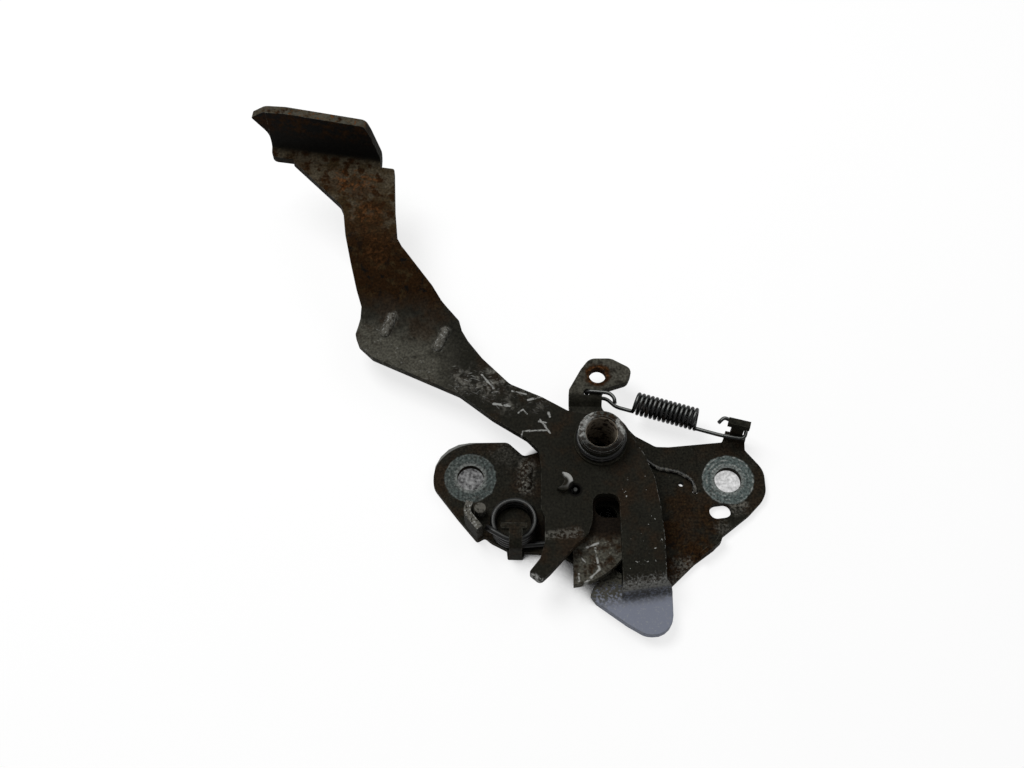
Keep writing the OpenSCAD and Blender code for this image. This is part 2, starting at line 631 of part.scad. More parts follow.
module spring_post() {
    color("#2a2927") union() {
        disc(coil_c, claw_mean_r - claw_wire_d / 2 - wire_gap, plate_t, 2.8);
        tail(coil_c, 3);
    }
}

module stop_pin() {
    color("#34322f") disc(pin_c, pin_r, 0, claw_z);
}

base_plate();
pivot_bush();
spacer_collar();
middle_washer();
upper_washer();
friction_spring();
safety_lever();
safety_spring();
release_pawl();
pawl_spring();
latch_claw();
claw_rivet();
claw_spacer();
claw_spring();
spring_post();
stop_pin();
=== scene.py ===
"""Looks of a worn bonnet latch: paint, rust, bare metal and springs over the CAD frame."""

import logging
import math
from dataclasses import dataclass, field
from enum import Enum

import bpy
from mathutils import Matrix, Vector


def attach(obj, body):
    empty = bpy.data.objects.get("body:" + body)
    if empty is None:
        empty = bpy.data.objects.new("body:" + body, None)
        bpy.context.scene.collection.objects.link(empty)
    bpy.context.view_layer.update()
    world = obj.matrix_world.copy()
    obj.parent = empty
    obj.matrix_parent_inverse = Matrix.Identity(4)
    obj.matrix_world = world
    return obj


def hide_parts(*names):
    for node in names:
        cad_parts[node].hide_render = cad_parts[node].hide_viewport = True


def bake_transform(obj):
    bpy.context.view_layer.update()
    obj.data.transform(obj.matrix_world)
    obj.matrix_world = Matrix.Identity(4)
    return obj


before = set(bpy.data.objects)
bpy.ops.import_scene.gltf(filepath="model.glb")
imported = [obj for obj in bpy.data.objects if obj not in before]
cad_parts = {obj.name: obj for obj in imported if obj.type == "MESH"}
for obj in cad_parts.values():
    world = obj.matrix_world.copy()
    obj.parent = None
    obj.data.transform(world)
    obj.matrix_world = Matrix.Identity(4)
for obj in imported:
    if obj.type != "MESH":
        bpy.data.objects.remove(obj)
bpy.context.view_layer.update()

MM = 0.001
log = logging.getLogger("bonnet_latch")
Colour = tuple[float, float, float]
Point = tuple[float, float, float]
Flat = tuple[float, float]
Span = tuple[float, float]
Spot = tuple[float, float, float, float]
Mark = tuple[float, float, float, float, float]
Socket = bpy.types.NodeSocket


class Body(Enum):
    """Rigid bodies of the latch."""

    BASE = "base"
    LEVER = "safety_lever"
    PAWL = "release_pawl"
    CLAW = "latch_claw"


class Axis(Enum):
    """Axes of the row frame."""

    X = 0
    Y = 1
    Z = 2


class Sum(Enum):
    """Ways to join two numbers."""

    ADD = "ADD"
    LESS = "SUBTRACT"
    TIMES = "MULTIPLY"
    OVER = "DIVIDE"
    MOST = "MAXIMUM"
    LEAST = "MINIMUM"
    WAVE = "SINE"
    BARE = "ABSOLUTE"


@dataclass(frozen=True)
class Layer:
    """One coat of a surface: its colour, how rough it is and how metallic."""

    colour: Colour
    rough: float
    metal: float = 0.0


@dataclass(frozen=True)
class Cloud:
    """Cloudy mask: size in millimetres, octaves, shift, and the noise at which it is 0 and 1."""

    size: float
    detail: float
    seed: float
    low: float
    high: float


@dataclass(frozen=True)
class Lamp:
    """Soft square lamp: place and side in metres, power in watts."""

    name: str
    place: Point
    side: float
    power: float


@dataclass(frozen=True)
class Palette:
    """Coats seen on the latch, in linear colour."""

    paint: Layer = Layer((0.0080, 0.0076, 0.0052), 0.65)
    paint_pale: Layer = Layer((0.050, 0.048, 0.038), 0.72)
    tan: Layer = Layer((0.046, 0.0375, 0.0245), 0.80)
    olive: Layer = Layer((0.0225, 0.0142, 0.0056), 0.80)
    # Dark coat: real dirt in the paint, and painted shade on the pivot ring, the flange, round the window
    # holes and in the claw's throat.
    grime_and_shade: Layer = Layer((0.0028, 0.0024, 0.0020), 0.80)
    rust: Layer = Layer((0.0150, 0.0064, 0.0018), 0.90)
    rust_bright: Layer = Layer((0.078, 0.031, 0.010), 0.90)
    rust_dark: Layer = Layer((0.0170, 0.0108, 0.0062), 0.85)
    # Pale brown laid in the pivot's bore: painted light standing in for light that reaches into it.
    bore: Layer = Layer((0.20, 0.170, 0.132), 0.88)
    # Blue-grey metal: real plating on the bolt rings, the pivot and plain steel, and painted sheen on the
    # upper side of the spring turns.
    zinc: Layer = Layer((0.056, 0.070, 0.067), 0.60, 0.1)
    bare: Layer = Layer((0.150, 0.162, 0.200), 0.60, 0.1)
    # Pale metal: real scratches and bare patches, and painted highlights on the pivot ring, the lever's right
    # edge, the lug, the left ear's rim and the spring turns; partly painted light on the tongue.
    scuff_and_highlight: Layer = Layer((0.260, 0.262, 0.250), 0.65, 0.1)
    spring: Layer = Layer((0.0024, 0.0023, 0.0022), 0.30)
    # Pale powdery coat: real powder, dirt and edge wear, and painted highlights on the ribs and the safety
    # spring's leg, partly on the bends of the plate and the lever.
    dust_and_sheen: Layer = Layer((0.092, 0.088, 0.076), 0.9)


COATS = Palette()


class Surface:
    """A material built up coat by coat, with every mark placed in millimetres of the row frame."""

    flat: Point = (1.0, 1.0, 0.0)
    shift: Point = (37.3, 23.1, 15.7)
    edge: Span = (0.995, 0.86)
    grains: Span = (0.30, 0.70)
    patch: Span = (1.15, 0.35)
    patch_rough: float = 2.2
    broken: Cloud = Cloud(1.3, 4.0, 3.0, 0.36, 0.52)
    streak: Span = (0.66, 0.71)
    streak_length: float = 9.0
    corner_samples: int = 6

    def __init__(self, name: str, first: Layer, gloss: float = 0.04) -> None:
        """Starts the material with its first coat.

        Args:
            name: Name of the material.
            first: Coat under all others.
            gloss: How strongly it shines.
        """
        self.material = bpy.data.materials.new(name)
        self.material.use_nodes = True
        self.tree = self.material.node_tree
        self.shader = self.tree.nodes["Principled BSDF"]
        self.shader.inputs["Specular IOR Level"].default_value = gloss
        coords = self.tree.nodes.new("ShaderNodeTexCoord")
        self.place = self._scaled(coords.outputs["Object"], 1.0 / MM)
        self.colour = self._rgb(first.colour)
        self.rough = self._number(first.rough)
        self.metal = self._number(first.metal)
        self.heights: list[tuple[Socket, float]] = []

    def _rgb(self, colour: Colour) -> Socket:
        """Returns a socket that gives one colour."""
        node = self.tree.nodes.new("ShaderNodeRGB")
        node.outputs[0].default_value = (*colour, 1.0)
        return node.outputs[0]

    def _number(self, value: float) -> Socket:
        """Returns a socket that gives one number."""
        node = self.tree.nodes.new("ShaderNodeValue")
        node.outputs[0].default_value = value
        return node.outputs[0]

    def _feed(self, socket: Socket, value: object) -> None:
        """Links a socket to another, or sets its constant."""
        if isinstance(value, Socket):
            self.tree.links.new(value, socket)
        else:
            socket.default_value = value

    def _vector(self, how: str, a: object, b: object, out: str = "Vector") -> Socket:
        """Joins two vectors and returns the named output."""
        node = self.tree.nodes.new("ShaderNodeVectorMath")
        node.operation = how
        self._feed(node.inputs[0], a)
        if b is not None:
            self._feed(node.inputs[1], b)
        return node.outputs[out]

    def _scaled(self, vector: object, share: object) -> Socket:
        """Returns a vector times a number."""
        node = self.tree.nodes.new("ShaderNodeVectorMath")
        node.operation = "SCALE"
        self._feed(node.inputs[0], vector)
        self._feed(node.inputs["Scale"], share)
        return node.outputs["Vector"]

    def sum(self, how: Sum, a: object, b: object = 0.0) -> Socket:
        """Joins two numbers.

        Args:
            how: The operation.
            a: First number or socket.
            b: Second number or socket.

        Returns:
            Socket with the result.
        """
        node = self.tree.nodes.new("ShaderNodeMath")
        node.operation = how.value
        self._feed(node.inputs[0], a)
        self._feed(node.inputs[1], b)
        return node.outputs[0]

    def add(self, a: object, b: object) -> Socket:
        """Returns a plus b."""
        return self.sum(Sum.ADD, a, b)

    def less(self, a: object, b: object) -> Socket:
        """Returns a minus b."""
        return self.sum(Sum.LESS, a, b)

    def times(self, a: object, b: object) -> Socket:
        """Returns a times b."""
        return self.sum(Sum.TIMES, a, b)

    def both(self, *masks: Socket) -> Socket:
        """Returns the mask where all the masks cover."""
        made = masks[0]
        for mask in masks[1:]:
            made = self.times(made, mask)
        return made

    def either(self, *masks: Socket) -> Socket:
        """Returns the mask where any of the masks covers."""
        made = masks[0]
        for mask in masks[1:]:
            made = self.sum(Sum.MOST, made, mask)
        return made

    def ramp(self, value: object, span: Span, straight: bool = False) -> Socket:
        """Mask that rises from 0 to 1.

        Args:
            value: Number or socket to read.
            span: Values where the mask is 0 and 1, in either order.
            straight: True for a straight rise, False for one that eases in and out.

        Returns:
            Socket with the mask.
        """
        node = self.tree.nodes.new("ShaderNodeMapRange")
        node.interpolation_type = "LINEAR" if straight else "SMOOTHSTEP"
        self._feed(node.inputs["Value"], value)
        node.inputs["From Min"].default_value, node.inputs["From Max"].default_value = span
        return node.outputs["Result"]

    def along(self, axis: Axis, span: Span) -> Socket:
        """Returns a mask that rises along an axis, in millimetres."""
        return self.ramp(self.axis(axis), span)

    def turned(self, axis: Axis, span: Span) -> Socket:
        """Returns a mask that rises as the surface turns to an axis."""
        return self.ramp(self.facing(axis), span)

    def noise(
        self, size: float, detail: float, seed: float = 0.0,
        length: float = 1.0, turn: float = 0.0, rough: float = 0.6,
    ) -> Socket:
        """Cloudy noise.

        Args:
            size: Size of the clouds in millimetres.
            detail: Octaves of finer noise.
            seed: Shift that gives another pattern.
            length: How many times longer than wide the clouds are.
            turn: Direction of the long clouds in degrees from X.
            rough: How strong the finer noise is.

        Returns:
            Socket from 0 to 1, mostly near 0.5.
        """
        move = self.tree.nodes.new("ShaderNodeMapping")
        move.vector_type = "TEXTURE"
        move.inputs["Location"].default_value = tuple(seed * s for s in self.shift)
        move.inputs["Rotation"].default_value = (0.0, 0.0, math.radians(turn))
        move.inputs["Scale"].default_value = (size * length, size, size)
        self.tree.links.new(self.place, move.inputs["Vector"])
        node = self.tree.nodes.new("ShaderNodeTexNoise")
        node.inputs["Scale"].default_value = 1.0
        node.inputs["Detail"].default_value = detail
        node.inputs["Roughness"].default_value = rough
        self.tree.links.new(move.outputs["Vector"], node.inputs["Vector"])
        return node.outputs["Fac"]

    def patchy(self, cloud: Cloud, shift: float = 0.0) -> Socket:
        """Returns a cloudy mask, with its pattern shifted further where that is asked."""
        return self.ramp(self.noise(cloud.size, cloud.detail, cloud.seed + shift), (cloud.low, cloud.high))

    def sway(self, size: float, detail: float, seed: float, swing: float) -> Socket:
        """Returns noise that swings about zero."""
        return self.times(self.less(self.noise(size, detail, seed), 0.5), swing)

    def streaks(self, width: float, turn: float, seed: float) -> Socket:
        """Fine scratches that all run one way.

        Args:
            width: Width of a scratch in millimetres.
            turn: Their direction in degrees from X.
            seed: Shift that gives another pattern.

        Returns:
            Socket with the mask.
        """
        return self.ramp(self.noise(width, 2.0, seed, self.streak_length, turn), self.streak)

    def reach(self, a: Point, b: Point | None = None) -> Socket:
        """Distance in plan, in millimetres, from a place or from the line between two places.

        Args:
            a: First place.
            b: Second place, or None for a spot.

        Returns:
            Socket with the distance.
        """
        off = self._vector("MULTIPLY", self._vector("SUBTRACT", self.place, a), self.flat)
        if b is not None:
            run = Vector(tuple((q - p) * w for p, q, w in zip(a, b, self.flat)))
            share = self._vector("DOT_PRODUCT", off, tuple(run / run.length_squared), "Value")
            share = self.sum(Sum.LEAST, self.sum(Sum.MOST, share, 0.0), 1.0)
            off = self._vector("SUBTRACT", off, self._scaled(tuple(run), share))
        return self._vector("LENGTH", off, None, "Value")

    def near(self, mark: Mark, core: float) -> Socket:
        """Mask along a line.

        Args:
            mark: X and Y of both ends and the line's half width, in millimetres.
            core: Half width that is covered fully, in millimetres.

        Returns:
            Socket with the mask.
        """
        x0, y0, x1, y1, width = mark
        return self.ramp(self.reach((x0, y0, 0.0), (x1, y1, 0.0)), (width, core))

    def axis(self, which: Axis) -> Socket:
        """Returns one coordinate in millimetres."""
        node = self.tree.nodes.new("ShaderNodeSeparateXYZ")
        self.tree.links.new(self.place, node.inputs[0])
        return node.outputs[which.value]

    def facing(self, which: Axis) -> Socket:
        """Returns one coordinate of the surface's outward direction in the row frame."""
        node = self.tree.nodes.new("ShaderNodeTexCoord")
        part = self.tree.nodes.new("ShaderNodeSeparateXYZ")
        self.tree.links.new(node.outputs["Normal"], part.inputs[0])
        return part.outputs[which.value]

    def _rounded(self, radius: float) -> Socket:
        """Returns the surface's direction with its edges rounded by that many millimetres."""
        soft = self.tree.nodes.new("ShaderNodeBevel")
        soft.samples = self.corner_samples
        soft.inputs["Radius"].default_value = radius * MM
        return soft.outputs["Normal"]

    def edges(self, width: float) -> Socket:
        """Returns a mask that is 1 on the sharp edges, as wide as that many millimetres."""
        true = self.tree.nodes.new("ShaderNodeNewGeometry")
        even = self._vector("DOT_PRODUCT", self._rounded(width), true.outputs["Normal"], "Value")
        return self.ramp(even, self.edge)

    def sky(self, reach: float, samples: int) -> Socket:
        """Share of the sky that a place sees.

        Args:
            reach: How far away things hide the sky, in millimetres.
            samples: How finely it is measured.

        Returns:
            Socket from 0 in a deep nook to 1 in the open.
        """
        node = self.tree.nodes.new("ShaderNodeAmbientOcclusion")
        node.samples = samples
        node.inputs["Distance"].default_value = reach * MM
        return node.outputs["AO"]

    def coat(self, mask: Socket, layer: Layer, share: float = 1.0) -> None:
        """Lays a coat over what is there.

        Args:
            mask: Socket that is 1 where the coat covers.
            layer: The coat.
            share: How far it covers there.
        """
        if share != 1.0:
            mask = self.times(mask, share)
        tint = self.tree.nodes.new("ShaderNodeMix")
        tint.data_type = "RGBA"
        self._feed(tint.inputs[0], mask)
        self._feed(tint.inputs[6], self.colour)
        tint.inputs[7].default_value = (*layer.colour, 1.0)
        self.colour = tint.outputs[2]
        self.rough = self.between(mask, self.rough, layer.rough)
        self.metal = self.between(mask, self.metal, layer.metal)

    def between(self, mask: Socket, a: object, b: object) -> Socket:
        """Number that goes from one value to another.

        Args:
            mask: Socket from 0 to 1.
            a: Number or socket where the mask is 0.
            b: Number or socket where the mask is 1.

        Returns:
            Socket with the number.
        """
        node = self.tree.nodes.new("ShaderNodeMix")
        node.data_type = "FLOAT"
        self._feed(node.inputs[0], mask)
        self._feed(node.inputs[2], a)
        self._feed(node.inputs[3], b)
        return node.outputs[0]

    def grain(self, size: float, low: float, high: float, seed: float) -> None:
        """Darkens and lightens all coats so far in fine grains.

        Args:
            size: Size of a grain in millimetres.
            low: Share of the colour that is left in the darkest grain.
            high: Share of the colour in the palest grain.
            seed: Shift that gives another pattern.
        """
        share = self.ramp(self.noise(size, 3.0, seed), self.grains)
        self.shade(self.between(share, low, high))

    def shade(self, share: Socket) -> None:
        """Leaves that share of the colour of all coats so far."""
        self.colour = self._scaled(self.colour, share)

    def relief(self, height: Socket, depth: float) -> None:
        """Adds a bump of that depth in millimetres."""
        self.heights.append((height, depth))

    def finish(self, rounding: float = 0.0) -> bpy.types.Material:
        """Links the coats to the shader.

        Args:
            rounding: Radius of the softened edges in millimetres, or 0 for a flat piece without relief.

        Returns:
            The material.
        """
        self.tree.links.new(self.colour, self.shader.inputs["Base Color"])
        self.tree.links.new(self.rough, self.shader.inputs["Roughness"])
        self.tree.links.new(self.metal, self.shader.inputs["Metallic"])
        if rounding == 0.0:
            return self.material
        normal = self._rounded(rounding)
        for height, depth in self.heights:
            bump = self.tree.nodes.new("ShaderNodeBump")
            bump.inputs["Distance"].default_value = depth * MM
            self.tree.links.new(height, bump.inputs["Height"])
            self.tree.links.new(normal, bump.inputs["Normal"])
            normal = bump.outputs["Normal"]
        self.tree.links.new(normal, self.shader.inputs["Normal"])
        return self.material

    def spots(self, places: list[Spot], size: float, seed: float) -> Socket:
        """Ragged patches.

        Args:
            places: X, Y, radius and strength of each patch, in millimetres.
            size: Size of the raggedness.
            seed: Shift of its pattern.

        Returns:
            Socket with the joined mask.
        """
        rough = self.sway(size, 5.0, seed, self.patch_rough)
        masks = []
        for x, y, radius, strength in places:
            far = self.add(self.sum(Sum.OVER, self.reach((x, y, 0.0)), radius), rough)
            masks.append(self.times(self.ramp(far, self.patch), strength))
        return self.either(*masks)

    def scratches(self, lines: list[Mark], seed: float) -> Socket:
        """Thin broken scratches.

        Args:
            lines: X and Y of both ends and the width of each, in millimetres.
            seed: Shift of the breaks.

        Returns:
            Socket with the joined mask.
        """
        wander = self.sway(2.2, 3.0, seed, 1.1)
        masks = []
        for x0, y0, x1, y1, width in lines:
            far = self.add(self.reach((x0, y0, 0.0), (x1, y1, 0.0)), wander)
            masks.append(self.ramp(self.sum(Sum.BARE, far), (width, width * 0.3)))
        return self.both(self.either(*masks), self.patchy(self.broken, seed))


def assign(node: str, material: bpy.types.Material) -> None:
    """Puts one material on a CAD node."""
    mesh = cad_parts[node].data
    mesh.materials.clear()
    mesh.materials.append(material)
    log.info("dressed %s", node)


def painted(name: str, rust: float, pale: float) -> Surface:
    """Old black paint with a little of everything on it.

    Args:
        name: Name of the material.
        rust: Share of thin rust.
        pale: Share of paler, chalky paint.

    Returns:
        The surface, ready for more coats.
    """
    made = Surface(name, COATS.paint)
    cloud = made.noise(9.0, 6.0, 1.0)
    fine = made.noise(1.3, 5.0, 4.0)
    made.coat(made.ramp(cloud, (0.46, 0.72)), COATS.paint_pale, pale)
    made.coat(made.patchy(Cloud(12.0, 6.0, 2.0, 0.46, 0.64)), COATS.rust_dark, rust)
    made.coat(made.ramp(fine, (0.50, 0.68)), COATS.grime_and_shade, 0.4)
    made.coat(made.patchy(Cloud(0.9, 2.0, 9.0, 0.72, 0.77)), COATS.dust_and_sheen, 0.3)
    made.relief(fine, 0.07)
    made.relief(cloud, 0.12)
    return made


def spread(points: list[Point | Vector], corner: float) -> list[Vector]:
    """Softens the inner corners of a wire's line.

    Args:
        points: Corners in millimetres.
        corner: Distance over which a corner is softened.

    Returns:
        Points along the softened line.
    """
    steps, most = 8, 0.45
    line = [Vector(p) for p in points]
    made = [line[0]]
    for before, here, after in zip(line, line[1:], line[2:]):
        a = here + (before - here).normalized() * min(corner, (before - here).length * most)
        b = here + (after - here).normalized() * min(corner, (after - here).length * most)
        for k in range(steps + 1):
            t = k / steps
            made.append(a * (1 - t) ** 2 + here * 2 * t * (1 - t) + b * t * t)
    made.append(line[-1])
    return made


def coil(centre: Flat, radius: float, turns: Span, heights: Span) -> list[Vector]:
    """Turns of wire about an upright axis.

    Args:
        centre: X and Y of the axis in millimetres.
        radius: Mean radius.
        turns: First and last angle in degrees.
        heights: Height at the first and at the last angle.

    Returns:
        Points along the wire.
    """
    step = 9
    (start, stop), (low, high) = turns, heights
    count = max(2, int(abs(stop - start) / step))
    made = []
    for i in range(count + 1):
        share = i / count
        angle = math.radians(start + (stop - start) * share)
        x, y = centre[0] + radius * math.cos(angle), centre[1] + radius * math.sin(angle)
        made.append(Vector((x, y, low + (high - low) * share)))
    return made


def wire(
    name: str, line: list[Vector], thickness: float, material: bpy.types.Material, sides: int = 14
) -> bpy.types.Object:
    """Round wire along a line.

    Args:
        name: Name of the piece.
        line: Points in millimetres.
        thickness: Diameter in millimetres.
        material: Finish of the wire.
        sides: Corners of its section.

    Returns:
        The new object, in the row frame.
    """
    verts: list[Vector] = []
    faces: list[tuple[int, ...]] = []
    up = Vector((0.36, 0.48, 0.8)).normalized()
    side = None
    for i, point in enumerate(line):
        way = (line[min(i + 1, len(line) - 1)] - line[max(i - 1, 0)]).normalized()
        side = way.cross(up).normalized() if side is None else (side - way * side.dot(way)).normalized()
        other = way.cross(side)
        for k in range(sides):
            angle = 2 * math.pi * k / sides
            out = side * math.cos(angle) + other * math.sin(angle)
            verts.append((point + out * thickness / 2) * MM)
    for i in range(len(line) - 1):
        for k in range(sides):
            a, b = i * sides + k, i * sides + (k + 1) % sides
            faces.append((a, b, b + sides, a + sides))
    faces.append(tuple(reversed(range(sides))))
    faces.append(tuple(range((len(line) - 1) * sides, len(line) * sides)))
    mesh = bpy.data.meshes.new(name)
    mesh.from_pydata([tuple(v) for v in verts], [], faces)
    mesh.materials.append(material)
    for face in mesh.polygons:
        face.use_smooth = len(face.vertices) == 4
    made = bpy.data.objects.new(name, mesh)
    bpy.context.scene.collection.objects.link(made)
    log.info("built %s", name)
    return made


@dataclass
class BasePlate:
    """Bolted plate with its tabs. Each bolt has its X, its Y and how far its ring is bared."""

    bolts: tuple[Point, ...] = ((-43.5, 0.0, 0.0), (43.5, 0.0, 0.38))
    up: Span = (0.5, 0.9)
    ring: Span = (9.1, 8.5)
    rim: Span = (5.8, 5.2)
    groove: float = 4.6
    groove_cut: Span = (-0.2, 0.9)
    ring_wear: Cloud = Cloud(1.3, 4.0, 1.0, 0.44, 0.62)
    ring_rust: Cloud = Cloud(2.4, 5.0, 2.0, 0.54, 0.70)
    bead: Mark = (-24.6, -3.0, -24.6, 4.4, 4.2)
    bead_core: float = 0.84
    bead_wear_and_sheen: Cloud = Cloud(1.1, 4.0, 7.0, 0.44, 0.64)
    glint: Point = (-41.35, -3.07, 0.0)
    glint_r: Span = (15.55, 15.75)
    glint_x: Span = (-42.0, -43.5)
    glint_y: Span = (-1.0, 1.0)
    flakes: Cloud = Cloud(1.6, 5.0, 8.0, 0.52, 0.66)
    dirt: Cloud = Cloud(1.8, 5.0, 3.0, 0.52, 0.64)
    powder: Cloud = Cloud(0.9, 4.0, 2.0, 0.40, 0.60)
    chips: Cloud = Cloud(1.6, 4.0, 3.0, 0.42, 0.62)
    lip_y: Span = (-19.0, -20.0)
    lip_z: Span = (6.0, 7.0)
    lip_wear: Cloud = Cloud(1.4, 4.0, 4.0, 0.44, 0.58)
    tab_z: Span = (12.6, 12.9)
    tab_x: Span = (-36.0, -37.0)
    tab_wear: Cloud = Cloud(0.9, 4.0, 5.0, 0.34, 0.52)
    tab_bare: Cloud = Cloud(0.8, 3.0, 8.0, 0.54, 0.64)
    rust: list[Spot] = field(default_factory=lambda: [
        (31.0, -26.0, 8.0, 0.9), (24.0, -20.0, 7.0, 0.8), (36.0, -14.0, 6.0, 0.7),
        (22.0, -33.0, 6.0, 0.8), (27.0, -10.0, 7.0, 0.6)])
    dusty: list[Spot] = field(default_factory=lambda: [
        (27.5, -31.5, 4.5, 0.7), (24.0, -37.0, 4.0, 0.6), (-32.0, 9.0, 6.0, 0.25),
        (47.0, -9.0, 3.5, 0.8), (41.0, -17.0, 3.0, 0.4)])

    def dress(self) -> None:
        """Paints the plate, bares the rings under the bolts, wears the bead, which also gets a painted
        highlight, and paints a highlight along the left ear's rim.
        """
        made = painted("plate_paint", 0.75, 0.14)
        made.coat(made.spots(self.rust, 3.5, 5.0), COATS.rust)
        made.coat(made.both(made.spots(self.rust, 2.0, 7.0), made.patchy(self.flakes)), COATS.olive)
        made.coat(made.both(made.spots(self.rust, 5.0, 2.0), made.patchy(self.dirt)), COATS.grime_and_shade)
        made.coat(made.both(made.spots(self.dusty, 2.0, 3.0), made.patchy(self.powder)), COATS.dust_and_sheen)
        self._rings(made)
        # Pale speckle on the bead: partly scraped paint, partly a painted highlight where its slope faces the
        # light.
        made.coat(made.both(made.near(self.bead, self.bead_core), made.patchy(self.bead_wear_and_sheen)), COATS.dust_and_sheen)
        made.grain(0.8, 0.42, 1.75, 5.0)
        made.coat(made.both(made.edges(0.4), made.patchy(self.chips)), COATS.paint_pale)
        # Painted highlight: a thin pale arc along the left ear's upper rim.
        ear = made.both(made.along(Axis.X, self.glint_x), made.along(Axis.Y, self.glint_y))
        made.coat(made.both(ear, made.ramp(made.reach(self.glint), self.glint_r)), COATS.scuff_and_highlight, 0.5)
        lip = made.both(made.edges(0.35), made.along(Axis.Y, self.lip_y), made.along(Axis.Z, self.lip_z))
        made.coat(made.both(lip, made.patchy(self.lip_wear)), COATS.dust_and_sheen)
        tops = made.both(made.along(Axis.Z, self.tab_z), made.along(Axis.X, self.tab_x))
        made.coat(made.both(tops, made.patchy(self.tab_wear)), COATS.dust_and_sheen)
        made.coat(made.both(tops, made.patchy(self.tab_bare)), COATS.scuff_and_highlight)
        assign("base_plate", made.finish(0.35))

    def _rings(self, made: Surface) -> None:
        """Rubs the paint off in a turned ring under each bolt's head."""
        up = made.turned(Axis.Z, self.up)
        for x, y, extra in self.bolts:
            true = made.reach((x, y, 0.0))
            bare = made.both(made.ramp(made.add(true, made.sway(2.2, 5.0, x, 1.6)), self.ring), up)
            made.coat(bare, COATS.zinc, 0.62 + extra)
            grooves = made.ramp(made.sum(Sum.WAVE, made.times(true, self.groove)), self.groove_cut)
            top_sheen = made.both(bare, grooves, made.patchy(self.ring_wear, x))
            made.coat(top_sheen, COATS.scuff_and_highlight, 0.16 + extra)
            made.coat(made.both(bare, made.patchy(self.ring_rust, x)), COATS.rust_dark, 0.45)
            made.coat(made.both(made.ramp(true, self.rim), bare), COATS.scuff_and_highlight, 0.22)


@dataclass
class PivotStack:
    """Hollow pivot with its washers, collar and friction spring."""

    centre: Flat = (0.0, 9.0)
    left: Span = (1.0, -5.0)
    right: Span = (3.0, 6.5)
    back: Span = (3.0, 5.5)
    front_shade: Span = (8.5, 5.0)
    ragged: Span = (0.46, 0.58)
    dull: Cloud = Cloud(1.0, 4.0, 6.0, 0.48, 0.64)
    stain: Cloud = Cloud(2.4, 4.0, 8.0, 0.49, 0.56)
    skirt: Span = (20.7, 20.2)
    crown: Span = (20.2, 20.9)
    bore: Span = (5.45, 5.25)
    bore_rust: Cloud = Cloud(2.0, 5.0, 5.0, 0.46, 0.62)
    pin: Point = (-40.0, -12.3, 0.0)
    pin_r: Span = (2.4, 1.9)
    pin_dust: Cloud = Cloud(1.0, 4.0, 4.0, 0.32, 0.52)
    steel_rust: Cloud = Cloud(2.5, 5.0, 2.0, 0.38, 0.52)
    spring_r: float = 7.7
    spring_wire: float = 1.5
    spring_turns: Span = (-150.0, 500.0)
    spring_z: Span = (15.55, 18.45)

    def dress(self, spring: bpy.types.Material) -> None:
        """Gives the ring head its zinc and the rest dark paint, dirt and rust.

        Args:
            spring: Finish of the spring wire.
        """
        assign("pivot_bush", self._bush())
        dark = painted("washer_black", 0.4, 0.3)
        dark.grain(1.0, 0.5, 1.6, 2.0)
        dark.coat(dark.edges(0.3), COATS.paint_pale, 0.6)
        pin = dark.ramp(dark.reach(self.pin), self.pin_r)
        dark.coat(dark.both(pin, dark.patchy(self.pin_dust)), COATS.dust_and_sheen)
        black = dark.finish(0.2)
        for node in ("upper_washer", "spring_post", "stop_pin"):
            assign(node, black)
        plain = Surface("plain_steel", COATS.zinc)
        plain.coat(plain.patchy(self.steel_rust), COATS.rust_dark)
        plain.grain(1.0, 0.5, 1.5, 2.0)
        steel = plain.finish(0.2)
        for node in ("spacer_collar", "middle_washer", "claw_rivet", "claw_spacer"):
            assign(node, steel)
        turns = coil(self.centre, self.spring_r, self.spring_turns, self.spring_z)
        piece = wire("friction_coil", turns, self.spring_wire, spring)
        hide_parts("friction_spring")
        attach(piece, Body.BASE.value)

    def _bush(self) -> bpy.types.Material:
        """Returns the zinc of the ring head, with a painted highlight in an arc at each side and painted
        shade towards -Y, and the rust in its bore over a pale brown that is painted light.
        """
        made = Surface("bush_zinc", COATS.rust_dark)
        # Painted highlight: the ring head is paler in an arc at each side.
        sides = made.either(made.along(Axis.X, self.left), made.along(Axis.X, self.right))
        lit_arcs = made.both(sides, made.along(Axis.Y, self.back))
        made.coat(made.ramp(made.add(lit_arcs, made.sway(1.6, 5.0, 3.0, 1.9)), self.ragged), COATS.scuff_and_highlight, 0.8)
        made.coat(made.patchy(self.dull), COATS.zinc, 0.7)
        made.coat(made.patchy(self.stain), COATS.rust_dark, 0.8)
        # Painted shade: the ring head darkens towards -Y.
        made.coat(made.along(Axis.Y, self.front_shade), COATS.grime_and_shade, 0.85)
        made.coat(made.along(Axis.Z, self.skirt), COATS.paint)
        made.grain(1.0, 0.6, 1.4, 3.0)
        # Painted light: the bore wall is given a pale brown where light would reach into it.
        inside = made.ramp(made.reach((*self.centre, 0.0)), self.bore)
        made.coat(inside, COATS.bore)
        made.coat(made.both(inside, made.patchy(self.bore_rust)), COATS.rust_dark)
        made.coat(made.both(made.edges(0.3), made.along(Axis.Z, self.crown)), COATS.scuff_and_highlight, 0.6)
        return made.finish(0.25)


